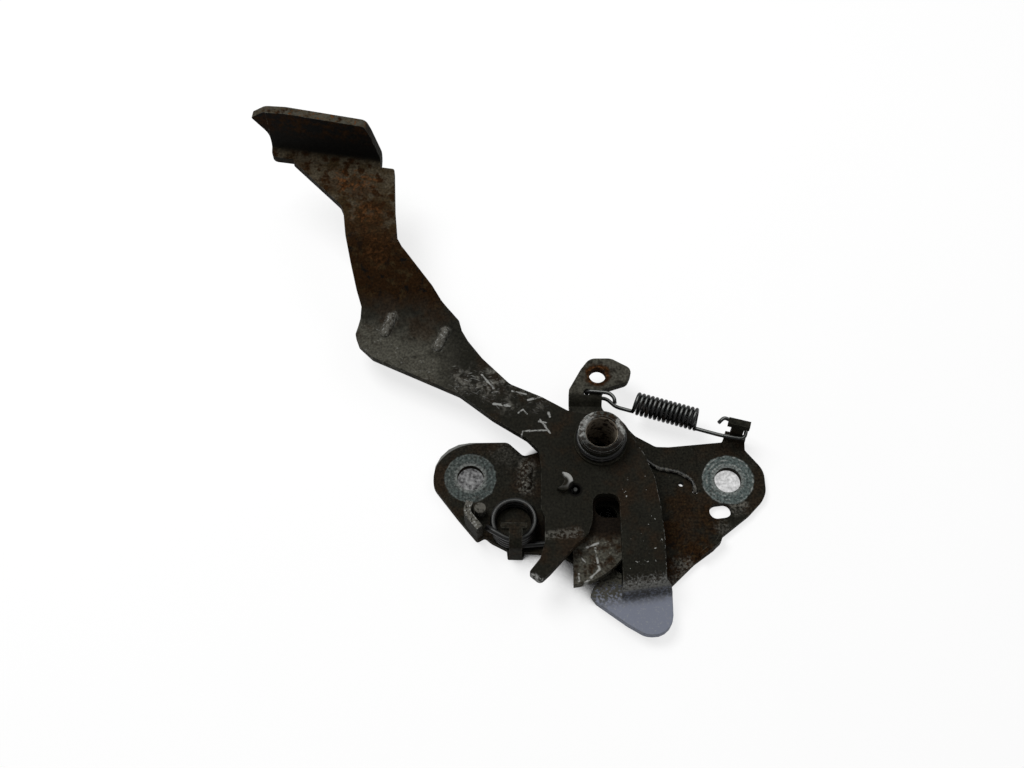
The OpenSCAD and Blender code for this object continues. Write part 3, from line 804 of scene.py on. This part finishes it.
@dataclass
class SafetyLever:
    """Long hand lever with its finger flange and catch tongue."""

    skew: float = 8.0
    up: Span = (0.3, 0.8)
    root_x: Span = (-44.0, -62.0)
    root_run: Span = (48.0, 34.0)
    root_pale: Cloud = Cloud(3.5, 6.0, 2.0, 0.26, 0.58)
    olive_run: Span = (64.0, 74.0)
    shelf_run: Span = (80.0, 90.0)
    shelf_tan: Cloud = Cloud(4.0, 5.0, 4.0, 0.32, 0.66)
    blotch_run: Span = (62.0, 70.0)
    blotch_tan: Cloud = Cloud(4.5, 5.0, 8.0, 0.47, 0.60)
    blotch_rust: Cloud = Cloud(3.6, 5.0, 5.0, 0.50, 0.60)
    slope_low: Span = (47.0, 54.0)
    slope_high: Span = (76.0, 66.0)
    slope_olive: Cloud = Cloud(2.6, 5.0, 3.0, 0.50, 0.68)
    slope_grime: Cloud = Cloud(3.0, 5.0, 7.0, 0.54, 0.66)
    ember_bits: Cloud = Cloud(1.5, 5.0, 5.0, 0.46, 0.62)
    inner_face: Span = (-0.3, -0.8)
    inner_z: Span = (27.0, 31.0)
    inner_rust_z: Span = (35.0, 43.0)
    inner_rust: Cloud = Cloud(2.5, 5.0, 5.0, 0.42, 0.64)
    corner_wear: Cloud = Cloud(1.8, 5.0, 2.0, 0.36, 0.62)
    grey_wear: Cloud = Cloud(2.2, 5.0, 7.0, 0.44, 0.66)
    fleck: Cloud = Cloud(1.0, 4.0, 7.0, 0.60, 0.70)
    rib_core: float = 0.625
    rib_sheen: Cloud = Cloud(1.1, 4.0, 1.0, 0.34, 0.58)
    rib_bare: Cloud = Cloud(0.9, 3.0, 4.0, 0.56, 0.66)
    step: Mark = (-18.0, -24.6, -8.0, -23.4, 2.6)
    step_core: float = 0.8
    step_wear_and_sheen: Cloud = Cloud(0.9, 3.0, 4.0, 0.46, 0.60)
    tip: Mark = (-22.6, -38.6, -19.6, -40.6, 1.2)
    tip_core: float = 0.4
    tip_wear: Cloud = Cloud(0.9, 3.0, 4.0, 0.44, 0.58)
    leg_x: Span = (5.0, 9.0)
    leg_y: Span = (0.0, -8.0)
    leg_pits: Cloud = Cloud(1.5, 2.0, 3.0, 0.70, 0.74)
    lug: Point = (-12.6, -6.2, 0.0)
    lug_r: Span = (4.0, 3.5)
    lug_z: Span = (14.0, 14.6)
    lug_inner: Span = (1.3, 2.3)
    lug_y: Span = (-9.0, -5.2)
    window: Point = (-8.6, -8.4, 0.0)
    window_r: Span = (2.7, 2.1)
    window_clear: Span = (2.2, 3.0)
    bend_x: float = 13.5
    lean: float = 9.0
    tongue_x: Span = (3.0, 7.0)
    tongue_z: Span = (11.0, 9.4)
    sheen_speckle: Span = (-37.0, -42.5)
    bare: Span = (-35.5, -41.5)
    bright: Span = (-38.0, -42.0)
    bright_bits: Cloud = Cloud(0.7, 3.0, 2.0, 0.54, 0.72)
    pale: Span = (-46.0, -40.0)
    pale_bits: Cloud = Cloud(0.9, 4.0, 2.0, 0.38, 0.56)
    flange_z: Span = (43.8, 44.8)
    flange_up: Span = (0.4, 0.8)
    flange_pale: Cloud = Cloud(1.4, 5.0, 2.0, 0.40, 0.66)
    flange_rust: Cloud = Cloud(1.6, 4.0, 6.0, 0.58, 0.68)
    edge_wear: Cloud = Cloud(1.6, 4.0, 3.0, 0.42, 0.60)
    edge_x: Span = (-20.0, -40.0)
    right_x: Span = (8.0, 13.0)
    right_glint: Cloud = Cloud(0.9, 3.0, 6.0, 0.40, 0.54)
    rust: list[Spot] = field(default_factory=lambda: [
        (-84.0, 99.0, 7.0, 0.9), (-93.0, 101.0, 6.0, 0.7), (-79.0, 88.0, 9.0, 0.8), (-77.0, 76.0, 7.0, 0.8),
        (-82.0, 62.0, 6.0, 0.5), (-106.0, 108.0, 8.0, 0.4), (-62.0, 50.0, 6.0, 0.6)])
    embers: list[Spot] = field(default_factory=lambda: [
        (-86.5, 102.1, 5.5, 1.0), (-91.0, 104.0, 3.5, 0.7), (-81.0, 102.0, 4.0, 0.8),
        (-81.0, 88.0, 7.0, 0.5), (-77.0, 76.0, 6.0, 0.35)])
    grey: list[Spot] = field(default_factory=lambda: [
        (-37.2, 29.7, 7.0, 1.0), (-31.5, 23.0, 4.5, 0.6), (-46.0, 31.0, 6.5, 0.8),
        (-20.0, 22.5, 4.0, 0.4), (-26.5, 27.0, 3.5, 0.4)])
    corner: list[Spot] = field(default_factory=lambda: [
        (-80.0, 45.0, 9.0, 0.9), (-70.0, 40.0, 8.0, 0.9), (-59.0, 36.0, 6.0, 0.8), (-85.0, 52.0, 5.0, 0.7)])
    ribs: list[Mark] = field(default_factory=lambda: [
        (-73.9, 49.4, -71.4, 55.1, 2.5), (-55.4, 44.0, -53.0, 49.8, 2.5)])
    scars: list[Mark] = field(default_factory=lambda: [
        (-26.5, 10.7, -25.9, 12.6, 0.35), (-25.9, 12.6, -17.6, 13.0, 0.38), (-20.2, 16.9, -16.8, 11.9, 0.4),
        (-20.5, 16.3, -17.9, 15.8, 0.35), (-17.4, 19.7, -16.9, 18.0, 0.5), (-35.9, 22.6, -30.4, 21.9, 0.6),
        (-27.5, 19.3, -25.9, 20.6, 0.35), (-25.9, 20.6, -24.6, 19.0, 0.35), (-24.3, 24.1, -18.5, 25.7, 0.4),
        (-40.0, 33.5, -36.0, 28.5, 0.45), (-29.5, 27.5, -25.0, 26.4, 0.4)])

    def dress(self) -> None:
        """Paints the lever, rusts the arm, scars the middle and bares the tongue."""
        made = painted("lever_paint", 0.8, 0.06)
        self._arm(made)
        self._scars(made)
        self._tongue(made)
        self._edges(made)
        assign("safety_lever", made.finish(0.4))

    def _arm(self, made: Surface) -> None:
        """Ages the arm: grey below, rust on the slope, olive above, and painted shade on the flange's face
        that turns to -Y.
        """
        turn = math.radians(self.skew)
        across = made.times(made.axis(Axis.X), math.sin(turn))
        onward = made.times(made.axis(Axis.Y), math.cos(turn))
        run = made.add(made.add(across, onward), made.sway(6.0, 6.0, 6.0, 16.0))
        up = made.turned(Axis.Z, self.up)
        root = made.both(made.along(Axis.X, self.root_x), made.ramp(run, self.root_run), up)
        made.coat(made.both(root, made.patchy(self.root_pale)), COATS.paint_pale)
        made.coat(made.both(made.ramp(run, self.olive_run), up), COATS.olive)
        shelf = made.both(made.ramp(run, self.shelf_run), up)
        made.coat(made.both(shelf, made.patchy(self.shelf_tan)), COATS.tan)
        blotch = made.both(made.ramp(run, self.blotch_run), up)
        made.coat(made.both(blotch, made.patchy(self.blotch_tan)), COATS.tan)
        made.coat(made.both(blotch, made.patchy(self.blotch_rust)), COATS.rust)
        slope = made.both(made.ramp(run, self.slope_low), made.ramp(run, self.slope_high))
        made.coat(slope, COATS.rust, 0.95)
        made.coat(made.both(slope, made.patchy(self.slope_olive)), COATS.olive)
        made.coat(made.both(slope, made.patchy(self.slope_grime)), COATS.grime_and_shade)
        made.coat(made.spots(self.rust, 4.0, 4.0), COATS.rust, 0.75)
        bright = made.both(made.spots(self.embers, 2.5, 6.0), made.patchy(self.ember_bits))
        made.coat(bright, COATS.rust_bright, 0.85)
        # Painted shade: the flange's face that turns to -Y, away from the light, is darkened.
        inner_shade = made.both(made.turned(Axis.Y, self.inner_face), made.along(Axis.Z, self.inner_z))
        made.coat(inner_shade, COATS.grime_and_shade, 0.95)
        high = made.along(Axis.Z, self.inner_rust_z)
        made.coat(made.both(inner_shade, high, made.patchy(self.inner_rust)), COATS.rust)

    def _scars(self, made: Surface) -> None:
        """Wears the arm's root grey, paints highlights on the ribs and the lug and partly on the leg's bend,
        scratches the middle and paints shade round the window.
        """
        corner = made.both(made.spots(self.corner, 3.0, 8.0), made.patchy(self.corner_wear))
        made.coat(corner, COATS.paint_pale)
        made.coat(made.both(made.spots(self.grey, 3.0, 8.0), made.patchy(self.grey_wear)), COATS.dust_and_sheen)
        made.grain(0.8, 0.58, 1.45, 3.0)
        flecks = made.both(made.spots(self.grey + self.corner, 4.0, 2.0), made.patchy(self.fleck))
        made.coat(flecks, COATS.scuff_and_highlight, 0.4)
        ways = (made.streaks(0.5, 12.0, 3.0), made.streaks(0.5, -50.0, 5.0), made.streaks(0.45, -24.0, 7.0))
        made.coat(made.both(made.either(*ways), made.spots(self.grey, 4.0, 5.0)), COATS.scuff_and_highlight, 0.75)
        # The ridge of each rib is painted pale as a painted highlight where it faces the light, with patches
        # scraped bare.
        for rib in self.ribs:
            sheen_top = made.near(rib, self.rib_core)
            made.coat(made.both(sheen_top, made.patchy(self.rib_sheen)), COATS.dust_and_sheen)
            made.coat(made.both(sheen_top, made.patchy(self.rib_bare)), COATS.scuff_and_highlight)
        made.coat(made.scratches(self.scars, 2.0), COATS.scuff_and_highlight, 0.9)
        # Pale speckle on the left leg's bend: partly scraped paint, partly a painted highlight on the bend.
        step = made.both(made.near(self.step, self.step_core), made.patchy(self.step_wear_and_sheen))
        made.coat(step, COATS.dust_and_sheen, 0.75)
        tip = made.both(made.near(self.tip, self.tip_core), made.patchy(self.tip_wear))
        made.coat(tip, COATS.scuff_and_highlight, 0.8)
        leg = made.both(made.along(Axis.X, self.leg_x), made.along(Axis.Y, self.leg_y))
        made.coat(made.both(leg, made.patchy(self.leg_pits)), COATS.scuff_and_highlight)
        # Painted highlight: a pale crescent on the lug's upper face.
        far = made.reach(self.lug)
        lug = made.both(made.ramp(far, self.lug_r), made.along(Axis.Z, self.lug_z))
        lit_crescent = made.both(made.ramp(far, self.lug_inner), made.along(Axis.Y, self.lug_y))
        made.coat(made.both(lug, lit_crescent), COATS.scuff_and_highlight)
        # Painted shade: a dark disc round the window hole.
        made.coat(made.ramp(made.reach(self.window), self.window_r), COATS.grime_and_shade)

    def _tongue(self, made: Surface) -> None:
        """Bares the catch tongue below its bend, with painted light on the bend's wall and some painted
        glints on the bare metal.
        """
        off = made.times(made.less(made.axis(Axis.X), self.bend_x), math.tan(math.radians(self.lean)))
        rise = made.less(made.axis(Axis.Y), off)
        ragged = made.add(rise, made.sway(0.7, 6.0, 5.0, 13.0))
        # Pale speckle on the bend's wall: partly bared metal, partly painted light on a wall that faces away
        # from the light.
        sheen_speckle = made.both(made.along(Axis.X, self.tongue_x), made.ramp(ragged, self.sheen_speckle))
        made.coat(sheen_speckle, COATS.scuff_and_highlight, 0.6)
        deep = made.along(Axis.Z, self.tongue_z)
        made.coat(made.both(deep, made.ramp(ragged, self.bare)), COATS.bare)
        # Pale flecks on the bare tongue: scratched metal, partly painted glints.
        sparkle_bits = made.both(deep, made.patchy(self.bright_bits), made.ramp(rise, self.bright))
        made.coat(sparkle_bits, COATS.scuff_and_highlight, 0.5)
        dull = made.both(deep, made.ramp(rise, self.pale), made.patchy(self.pale_bits))
        made.coat(dull, COATS.paint_pale)

    def _edges(self, made: Surface) -> None:
        """Lightens the flange's upper edge and the scraped edges, and paints a highlight along the lever's
        right edge.
        """
        lip = made.both(made.along(Axis.Z, self.flange_z), made.turned(Axis.Z, self.flange_up))
        made.coat(made.both(lip, made.patchy(self.flange_pale)), COATS.paint_pale)
        made.coat(made.both(lip, made.patchy(self.flange_rust)), COATS.rust_bright)
        clear = made.ramp(made.reach(self.window), self.window_clear)
        rub = made.both(made.edges(0.4), clear, made.patchy(self.edge_wear))
        more = made.between(made.along(Axis.X, self.edge_x), 0.5, 1.0)
        made.coat(made.both(rub, more), COATS.dust_and_sheen)
        # Painted highlight: a pale line along the lever's right edge.
        right = made.both(rub, made.along(Axis.X, self.right_x), made.patchy(self.right_glint))
        made.coat(right, COATS.scuff_and_highlight)


@dataclass
class ReleasePawl:
    """Pawl with the cable eye."""

    eye: Point = (-0.5, 34.2, 0.0)
    rim: Span = (5.2, 3.6)
    rim_bright: Span = (4.6, 3.4)
    ember: Cloud = Cloud(1.4, 4.0, 6.0, 0.46, 0.64)
    plate_y: Span = (26.0, 29.0)
    pale: Cloud = Cloud(2.5, 6.0, 2.0, 0.34, 0.60)
    edge_wear: Cloud = Cloud(1.6, 4.0, 3.0, 0.40, 0.60)

    def dress(self) -> None:
        """Paints the pawl and rusts the rim of its eye."""
        made = painted("pawl_paint", 0.5, 0.3)
        made.coat(made.both(made.along(Axis.Y, self.plate_y), made.patchy(self.pale)), COATS.paint_pale)
        far = made.add(made.reach(self.eye), made.sway(2.0, 4.0, 1.0, 3.0))
        made.coat(made.ramp(far, self.rim), COATS.rust)
        bright = made.both(made.ramp(far, self.rim_bright), made.patchy(self.ember))
        made.coat(bright, COATS.rust_bright, 0.7)
        made.grain(0.8, 0.55, 1.5, 6.0)
        made.coat(made.both(made.edges(0.4), made.patchy(self.edge_wear)), COATS.paint_pale)
        assign("release_pawl", made.finish(0.35))


@dataclass
class LatchClaw:
    """Claw that holds the striker."""

    leaf_y: Span = (-22.0, -26.0)
    leaf_pale: Cloud = Cloud(3.0, 6.0, 1.0, 0.34, 0.58)
    leaf_dust: Cloud = Cloud(1.2, 5.0, 6.0, 0.56, 0.70)
    rust: Cloud = Cloud(2.0, 5.0, 2.0, 0.54, 0.68)
    throat_shade_y: Span = (-25.0, -21.0)
    edge_wear: Cloud = Cloud(1.4, 4.0, 3.0, 0.42, 0.58)
    scars: list[Mark] = field(default_factory=lambda: [
        (-2.2, -27.5, -1.7, -30.9, 0.4), (-1.7, -30.9, -0.9, -34.7, 0.5), (-0.9, -34.7, -7.4, -40.9, 0.5),
        (-7.7, -36.2, -7.7, -38.5, 0.5), (-4.9, -27.1, -1.2, -25.7, 0.5), (-6.8, -30.9, -5.4, -32.3, 0.4)])

    def dress(self) -> None:
        """Rusts the claw, scratches it bare where the striker rubs, and paints shade in its throat."""
        made = Surface("claw_rust", COATS.rust_dark)
        leaf = made.along(Axis.Y, self.leaf_y)
        made.coat(made.both(leaf, made.patchy(self.leaf_pale)), COATS.paint_pale)
        made.coat(made.both(leaf, made.patchy(self.leaf_dust)), COATS.dust_and_sheen)
        made.coat(made.patchy(self.rust), COATS.rust, 0.7)
        # Painted shade: the claw darkens towards its throat.
        made.coat(made.along(Axis.Y, self.throat_shade_y), COATS.grime_and_shade, 0.75)
        made.grain(0.8, 0.5, 1.6, 4.0)
        made.coat(made.scratches(self.scars, 4.0), COATS.scuff_and_highlight)
        made.coat(made.both(leaf, made.edges(0.4), made.patchy(self.edge_wear)), COATS.dust_and_sheen)
        made.relief(made.noise(1.2, 5.0, 4.0), 0.08)
        assign("latch_claw", made.finish(0.3))


@dataclass
class Springs:
    """The three working springs, wound between the pieces they pull."""

    gloss: float = 0.16
    rusty: Cloud = Cloud(3.0, 5.0, 2.0, 0.54, 0.70)
    dusty: Cloud = Cloud(1.1, 4.0, 5.0, 0.60, 0.72)
    leg_x: Span = (17.0, 20.0)
    leg_y: Span = (7.0, 5.0)
    leg_sheen: Cloud = Cloud(1.6, 4.0, 3.0, 0.46, 0.60)
    window_r: Span = (2.4, 1.8)
    sheen_top: Span = (0.84, 0.97)
    crest_sheen: Span = (0.945, 0.985)
    claw_wire: float = 2.0
    claw_c: Flat = (-28.7, -17.6)
    claw_r: float = 7.0
    claw_turns: Span = (240.0, 1355.0)
    claw_z: Span = (10.204, 3.7)
    claw_tail: tuple[float, ...] = (6.6, 3.0, 1.0)
    claw_leg: Flat = (-10.0, -0.87)
    claw_bend: float = 2.0
    hook: Point = (-6.5, -22.673, 9.4)
    safety_wire: float = 1.3
    safety_c: Flat = (0.0, 9.0)
    safety_r: float = 8.45
    safety_turns: Span = (47.0, 560.0)
    safety_z: Span = (3.3, 5.7)
    safety_foot: float = 0.6
    safety_leg: tuple[Flat, ...] = ((32.3, -4.2), (31.2, -0.4), (27.0, 2.4), (19.6, 3.8))
    safety_entry: float = 44.0
    safety_ease: Flat = (0.9, -0.8)
    safety_exit: Flat = (-9.6, 0.0)
    safety_bends: Span = (1.5, 1.6)
    window: Point = (-8.6, -8.4, 13.9)
    pawl_wire: float = 1.3
    pawl_sides: int = 12
    hole: Flat = (-4.2, 27.8)
    over: float = 13.3
    under: float = 8.2
    clip_end: Point = (5.2, 23.4, 12.7)
    clip: tuple[Flat, ...] = ((5.0, 25.4), (3.2, 27.2), (-0.3, 27.5))
    lead: Flat = (2.6, 27.4)
    lead_runs: Span = (10.4, 15.4)
    pull_z: float = 9.0
    pull_r: float = 3.35
    pull_turns: int = 14
    pull_pitch: float = 1.55
    pull_steps: int = 28
    pull_start: float = 16.4
    pull_drop: float = 1.0
    pull_out: float = 0.8
    pull_bends: Span = (1.5, 2.0)
    anchor: Flat = (46.5, 15.0)
    anchor_turn: float = -14.0
    loop: tuple[Point, ...] = (
        (-5.05, -2.7, 0.0), (3.05, -2.1, 0.0), (3.05, 2.1, 0.6),
        (-3.05, 2.7, 2.0), (-5.25, 2.9, 2.6), (-6.65, 0.5, 2.6))

    def finish(self, name: str, top_sheen: float) -> bpy.types.Material:
        """Finish of the black wire, with painted highlights and painted shade.

        Args:
            name: Name of the material.
            top_sheen: How strongly the upper side of each turn is painted with a highlight, from 0 to 1.

        Returns:
            The material.
        """
        made = Surface(name, COATS.spring, self.gloss)
        made.coat(made.patchy(self.rusty), COATS.rust_dark, 0.6)
        made.coat(made.patchy(self.dusty), COATS.dust_and_sheen, 0.35)
        # Painted highlight: the safety spring's leg is paler along its run to the plate.
        leg = made.both(made.along(Axis.X, self.leg_x), made.along(Axis.Y, self.leg_y))
        made.coat(made.both(leg, made.patchy(self.leg_sheen)), COATS.dust_and_sheen)
        # Painted shade: the wire darkens where it sits in the lever's window.
        made.coat(made.ramp(made.reach(self.window), self.window_r), COATS.grime_and_shade)
        # Painted highlights: the upper side of each turn is paler, most along its highest line.
        made.coat(made.turned(Axis.Z, self.sheen_top), COATS.zinc, top_sheen * 0.5)
        made.coat(made.turned(Axis.Z, self.crest_sheen), COATS.scuff_and_highlight, top_sheen * 0.8)
        return made.finish(0.05)

    def build(self, dull: bpy.types.Material, highlit: bpy.types.Material) -> None:
        """Winds the springs and ties their ends.

        Args:
            dull: Finish of the torsion springs.
            highlit: Finish of the extension spring, with stronger painted highlights on its turns.
        """
        self._claw(dull)
        self._safety(dull)
        self._pawl(highlit)

    def _claw(self, material: bpy.types.Material) -> None:
        """Winds the claw's torsion spring from its straight tail to the hook in the claw."""
        turns = coil(self.claw_c, self.claw_r, self.claw_turns, self.claw_z)
        first = math.radians(self.claw_turns[0])
        tail = Vector((math.sin(first), -math.cos(first), 0.0))
        line = [turns[0] + tail * far for far in self.claw_tail] + turns
        x, y, z = self.hook
        low = self.claw_z[1]
        leg = (x + self.claw_leg[0], y + self.claw_leg[1], low)
        line += spread([leg, (x, y, low), (x, y, z)], self.claw_bend)
        piece = wire("claw_coil", line, self.claw_wire, material)
        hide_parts("claw_spring")
        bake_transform(piece)

    def _safety(self, material: bpy.types.Material) -> None:
        """Winds the safety lever's torsion spring from its foot in the plate to the lever's hole."""
        low, high = self.safety_z
        first_bend, last_bend = self.safety_bends
        entry = math.radians(self.safety_entry)
        into = (self.safety_c[0] + self.safety_r * math.cos(entry) + self.safety_ease[0],
                self.safety_c[1] + self.safety_r * math.sin(entry) + self.safety_ease[1])
        foot = (*self.safety_leg[0], self.safety_foot)
        line = spread([foot] + [(*p, low) for p in (*self.safety_leg, into)], first_bend)
        line += coil(self.safety_c, self.safety_r, self.safety_turns, self.safety_z)
        x, y, z = self.window
        line += spread([(*self.safety_exit, high), (x, y, high), (x, y, z)], last_bend)
        piece = wire("safety_coil", line, self.safety_wire, material)
        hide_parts("safety_spring")
        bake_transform(piece)

    def _pawl(self, material: bpy.types.Material) -> None:
        """Winds the pawl's extension spring from its clip in the pawl to the loop round the anchor."""
        turn = math.radians(self.anchor_turn)
        run = Vector((math.cos(turn), math.sin(turn), 0.0))
        out = Vector((-run.y, run.x, 0.0))
        loop = [Vector((*self.anchor, self.pull_z + up)) + run * a + out * b for a, b, up in self.loop]
        root = Vector((self.hole[0], self.hole[1] - self.pull_drop, self.pull_z))
        way = (loop[0] - root).normalized()
        side, up = Vector((-way.y, way.x, 0.0)), Vector((0.0, 0.0, 1.0))
        first_bend, last_bend = self.pull_bends
        clip = [self.clip_end] + [(*p, self.over) for p in (*self.clip, self.hole)]
        clip += [(*p, self.under) for p in (self.hole, self.lead)]
        line = spread(clip + [root + way * far for far in self.lead_runs], first_bend)
        for i in range(self.pull_turns * self.pull_steps + 1):
            angle = 2 * math.pi * i / self.pull_steps
            here = root + way * (self.pull_start + i * self.pull_pitch / self.pull_steps)
            around = side * (1 - math.cos(angle)) + up * math.sin(angle)
            line.append(here + around * self.pull_r)
        end = self.pull_start + self.pull_turns * self.pull_pitch + self.pull_out
        line += spread([root + way * end] + loop, last_bend)
        piece = wire("pawl_coil", line, self.pawl_wire, material, self.pawl_sides)
        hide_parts("pawl_spring")
        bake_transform(piece)


@dataclass
class Studio:
    """Camera, pale floor and soft light. Each well has a bolt hole's X and the share of tone that its painted
    shade leaves.
    """

    eye: Point = (-29.716, -191.252, 467.373)
    tilt: float = 64.0
    roll: float = 0.007773
    lens: float = 52.16
    sensor: float = 36.0
    clip: Span = (0.01, 20.0)
    floor: Layer = Layer((1.0, 1.0, 1.0), 0.9)
    floor_gloss: float = 0.1
    floor_half: float = 3.0
    floor_z: float = -0.2
    floor_cloud: float = 150.0
    floor_tones: Span = (0.98, 1.0)
    floor_glow: float = 0.75
    shade_reach: float = 30.0
    shade_samples: int = 12
    shade_sky: Span = (0.26, 0.52)
    shade_c: Point = (-2.0, -12.0, 0.0)
    shade_r: Span = (29.0, 32.0)
    wells: tuple[Flat, ...] = ((-43.5, 0.15), (43.5, 0.62))
    well_r: Span = (5.2, 5.6)
    well_cloud: float = 1.0 / 0.9
    well_flake: Span = (0.3, 0.7)
    fill: float = 0.265
    aim: Point = (-0.02, 0.03, 0.0)
    lamps: tuple[Lamp, ...] = (
        Lamp("key", (-0.38, 0.30, 0.90), 0.5, 8.0), Lamp("side", (0.60, 0.35, 0.75), 0.6, 1.8))

    def build(self) -> None:
        """Sets the camera, the floor and the lights."""
        self._camera()
        self._floor()
        for lamp in self.lamps:
            self._light(lamp)
        world = bpy.data.worlds.new("studio")
        bpy.context.scene.world = world
        world.use_nodes = True
        self._sky(world.node_tree)
        bpy.context.scene.view_settings.view_transform = "Standard"

    def _camera(self) -> None:
        """Sets the camera where the photograph was taken from."""
        data = bpy.data.cameras.new("camera")
        data.lens = self.lens
        data.sensor_width = self.sensor
        data.clip_start, data.clip_end = self.clip
        data.dof.use_dof = False
        camera = bpy.data.objects.new("camera", data)
        bpy.context.scene.collection.objects.link(camera)
        tilt = math.radians(self.tilt)
        level = Vector((1.0, 0.0, 0.0))
        ahead = Vector((0.0, math.cos(tilt), -math.sin(tilt)))
        above = Vector((0.0, math.sin(tilt), math.cos(tilt)))
        right = level * math.cos(self.roll) + above * math.sin(self.roll)
        up = above * math.cos(self.roll) - level * math.sin(self.roll)
        turn = Matrix((right, up, -ahead)).transposed().to_4x4()
        camera.matrix_world = Matrix.Translation(Vector(self.eye) * MM) @ turn
        bpy.context.scene.camera = camera

    def _sky(self, tree: bpy.types.NodeTree) -> None:
        """Makes the world a soft fill light that looks white.

        Args:
            tree: Nodes of the world.
        """
        back = tree.nodes["Background"]
        back.inputs["Color"].default_value = (1.0, 1.0, 1.0, 1.0)
        level = tree.nodes.new("ShaderNodeMapRange")
        level.inputs["To Min"].default_value = self.fill
        level.inputs["To Max"].default_value = 1.0
        tree.links.new(self._looked(tree), level.inputs["Value"])
        tree.links.new(level.outputs["Result"], back.inputs["Strength"])

    def _looked(self, tree: bpy.types.NodeTree) -> Socket:
        """Finds the rays that look at the background.

        Args:
            tree: Nodes of the world or of the floor.

        Returns:
            1 for a ray that is seen directly, in a shine or through glass, and 0 for one that only lights.
        """
        path = tree.nodes.new("ShaderNodeLightPath")
        looked = path.outputs["Is Camera Ray"]
        for kind in ("Is Glossy Ray", "Is Transmission Ray"):
            more = tree.nodes.new("ShaderNodeMath")
            more.operation = "MAXIMUM"
            tree.links.new(looked, more.inputs[0])
            tree.links.new(path.outputs[kind], more.inputs[1])
            looked = more.outputs[0]
        return looked

    def _floor(self) -> None:
        """Lays the pale floor, which glows for the rays that look at it."""
        mesh = bpy.data.meshes.new("floor")
        far, z = self.floor_half, self.floor_z * MM
        mesh.from_pydata([(-far, -far, z), (far, -far, z), (far, far, z), (-far, far, z)], [], [(0, 1, 2, 3)])
        floor = bpy.data.objects.new("floor", mesh)
        bpy.context.scene.collection.objects.link(floor)
        made = Surface("pale_floor", self.floor, self.floor_gloss)
        made.shade(self._tone(made))
        mesh.materials.append(made.finish())
        tree = made.tree
        glow = tree.nodes.new("ShaderNodeEmission")
        tree.links.new(made.colour, glow.inputs["Color"])
        both = tree.nodes.new("ShaderNodeMixShader")
        tree.links.new(made.times(self._looked(tree), self.floor_glow), both.inputs[0])
        tree.links.new(made.shader.outputs[0], both.inputs[1])
        tree.links.new(glow.outputs[0], both.inputs[2])
        tree.links.new(both.outputs[0], tree.nodes["Material Output"].inputs["Surface"])

    def _tone(self, made: Surface) -> Socket:
        """Tone of the floor, with painted shade below the claw, where parts hide the sky, and at the bottom
        of the bolt holes.

        Args:
            made: Surface of the floor.

        Returns:
            Socket with the tone.
        """
        tone = made.between(made.noise(self.floor_cloud, 2.0, rough=0.5), *self.floor_tones)
        # Painted shade: the floor darkens where nearby parts hide its sky, within reach of the claw.
        clear = made.ramp(made.sky(self.shade_reach, self.shade_samples), self.shade_sky)
        away = made.ramp(made.reach(self.shade_c), self.shade_r, True)
        tone = made.both(tone, made.either(clear, away))
        flake = made.ramp(made.noise(self.well_cloud, 4.0, rough=0.5), self.well_flake, True)
        # Painted shade, mottled, at the bottom of each bolt hole.
        for x, share in self.wells:
            left = made.between(flake, share * share, 2 * share - share * share)
            rim = made.ramp(made.reach((x, 0.0, 0.0)), self.well_r, True)
            tone = made.both(tone, made.between(rim, left, 1.0))
        return tone

    def _light(self, lamp: Lamp) -> None:
        """Hangs a soft lamp that looks at the latch.

        Args:
            lamp: The lamp.
        """
        data = bpy.data.lights.new(lamp.name, "AREA")
        data.shape = "SQUARE"
        data.size = lamp.side
        data.energy = lamp.power
        hung = bpy.data.objects.new(lamp.name, data)
        bpy.context.scene.collection.objects.link(hung)
        hung.location = lamp.place
        hung.rotation_mode = "QUATERNION"
        hung.rotation_quaternion = (Vector(self.aim) - Vector(lamp.place)).to_track_quat("-Z", "Y")


def main() -> None:
    """Dresses the latch piece by piece and sets the studio round it."""
    logging.basicConfig(level=logging.INFO, format="%(name)s: %(message)s")
    springs = Springs()
    dull, highlit = springs.finish("spring_dull", 0.15), springs.finish("spring_highlit", 0.9)
    BasePlate().dress()
    PivotStack().dress(dull)
    ReleasePawl().dress()
    LatchClaw().dress()
    SafetyLever().dress()
    springs.build(dull, highlit)
    Studio().build()


if __name__ == "__main__":
    main()
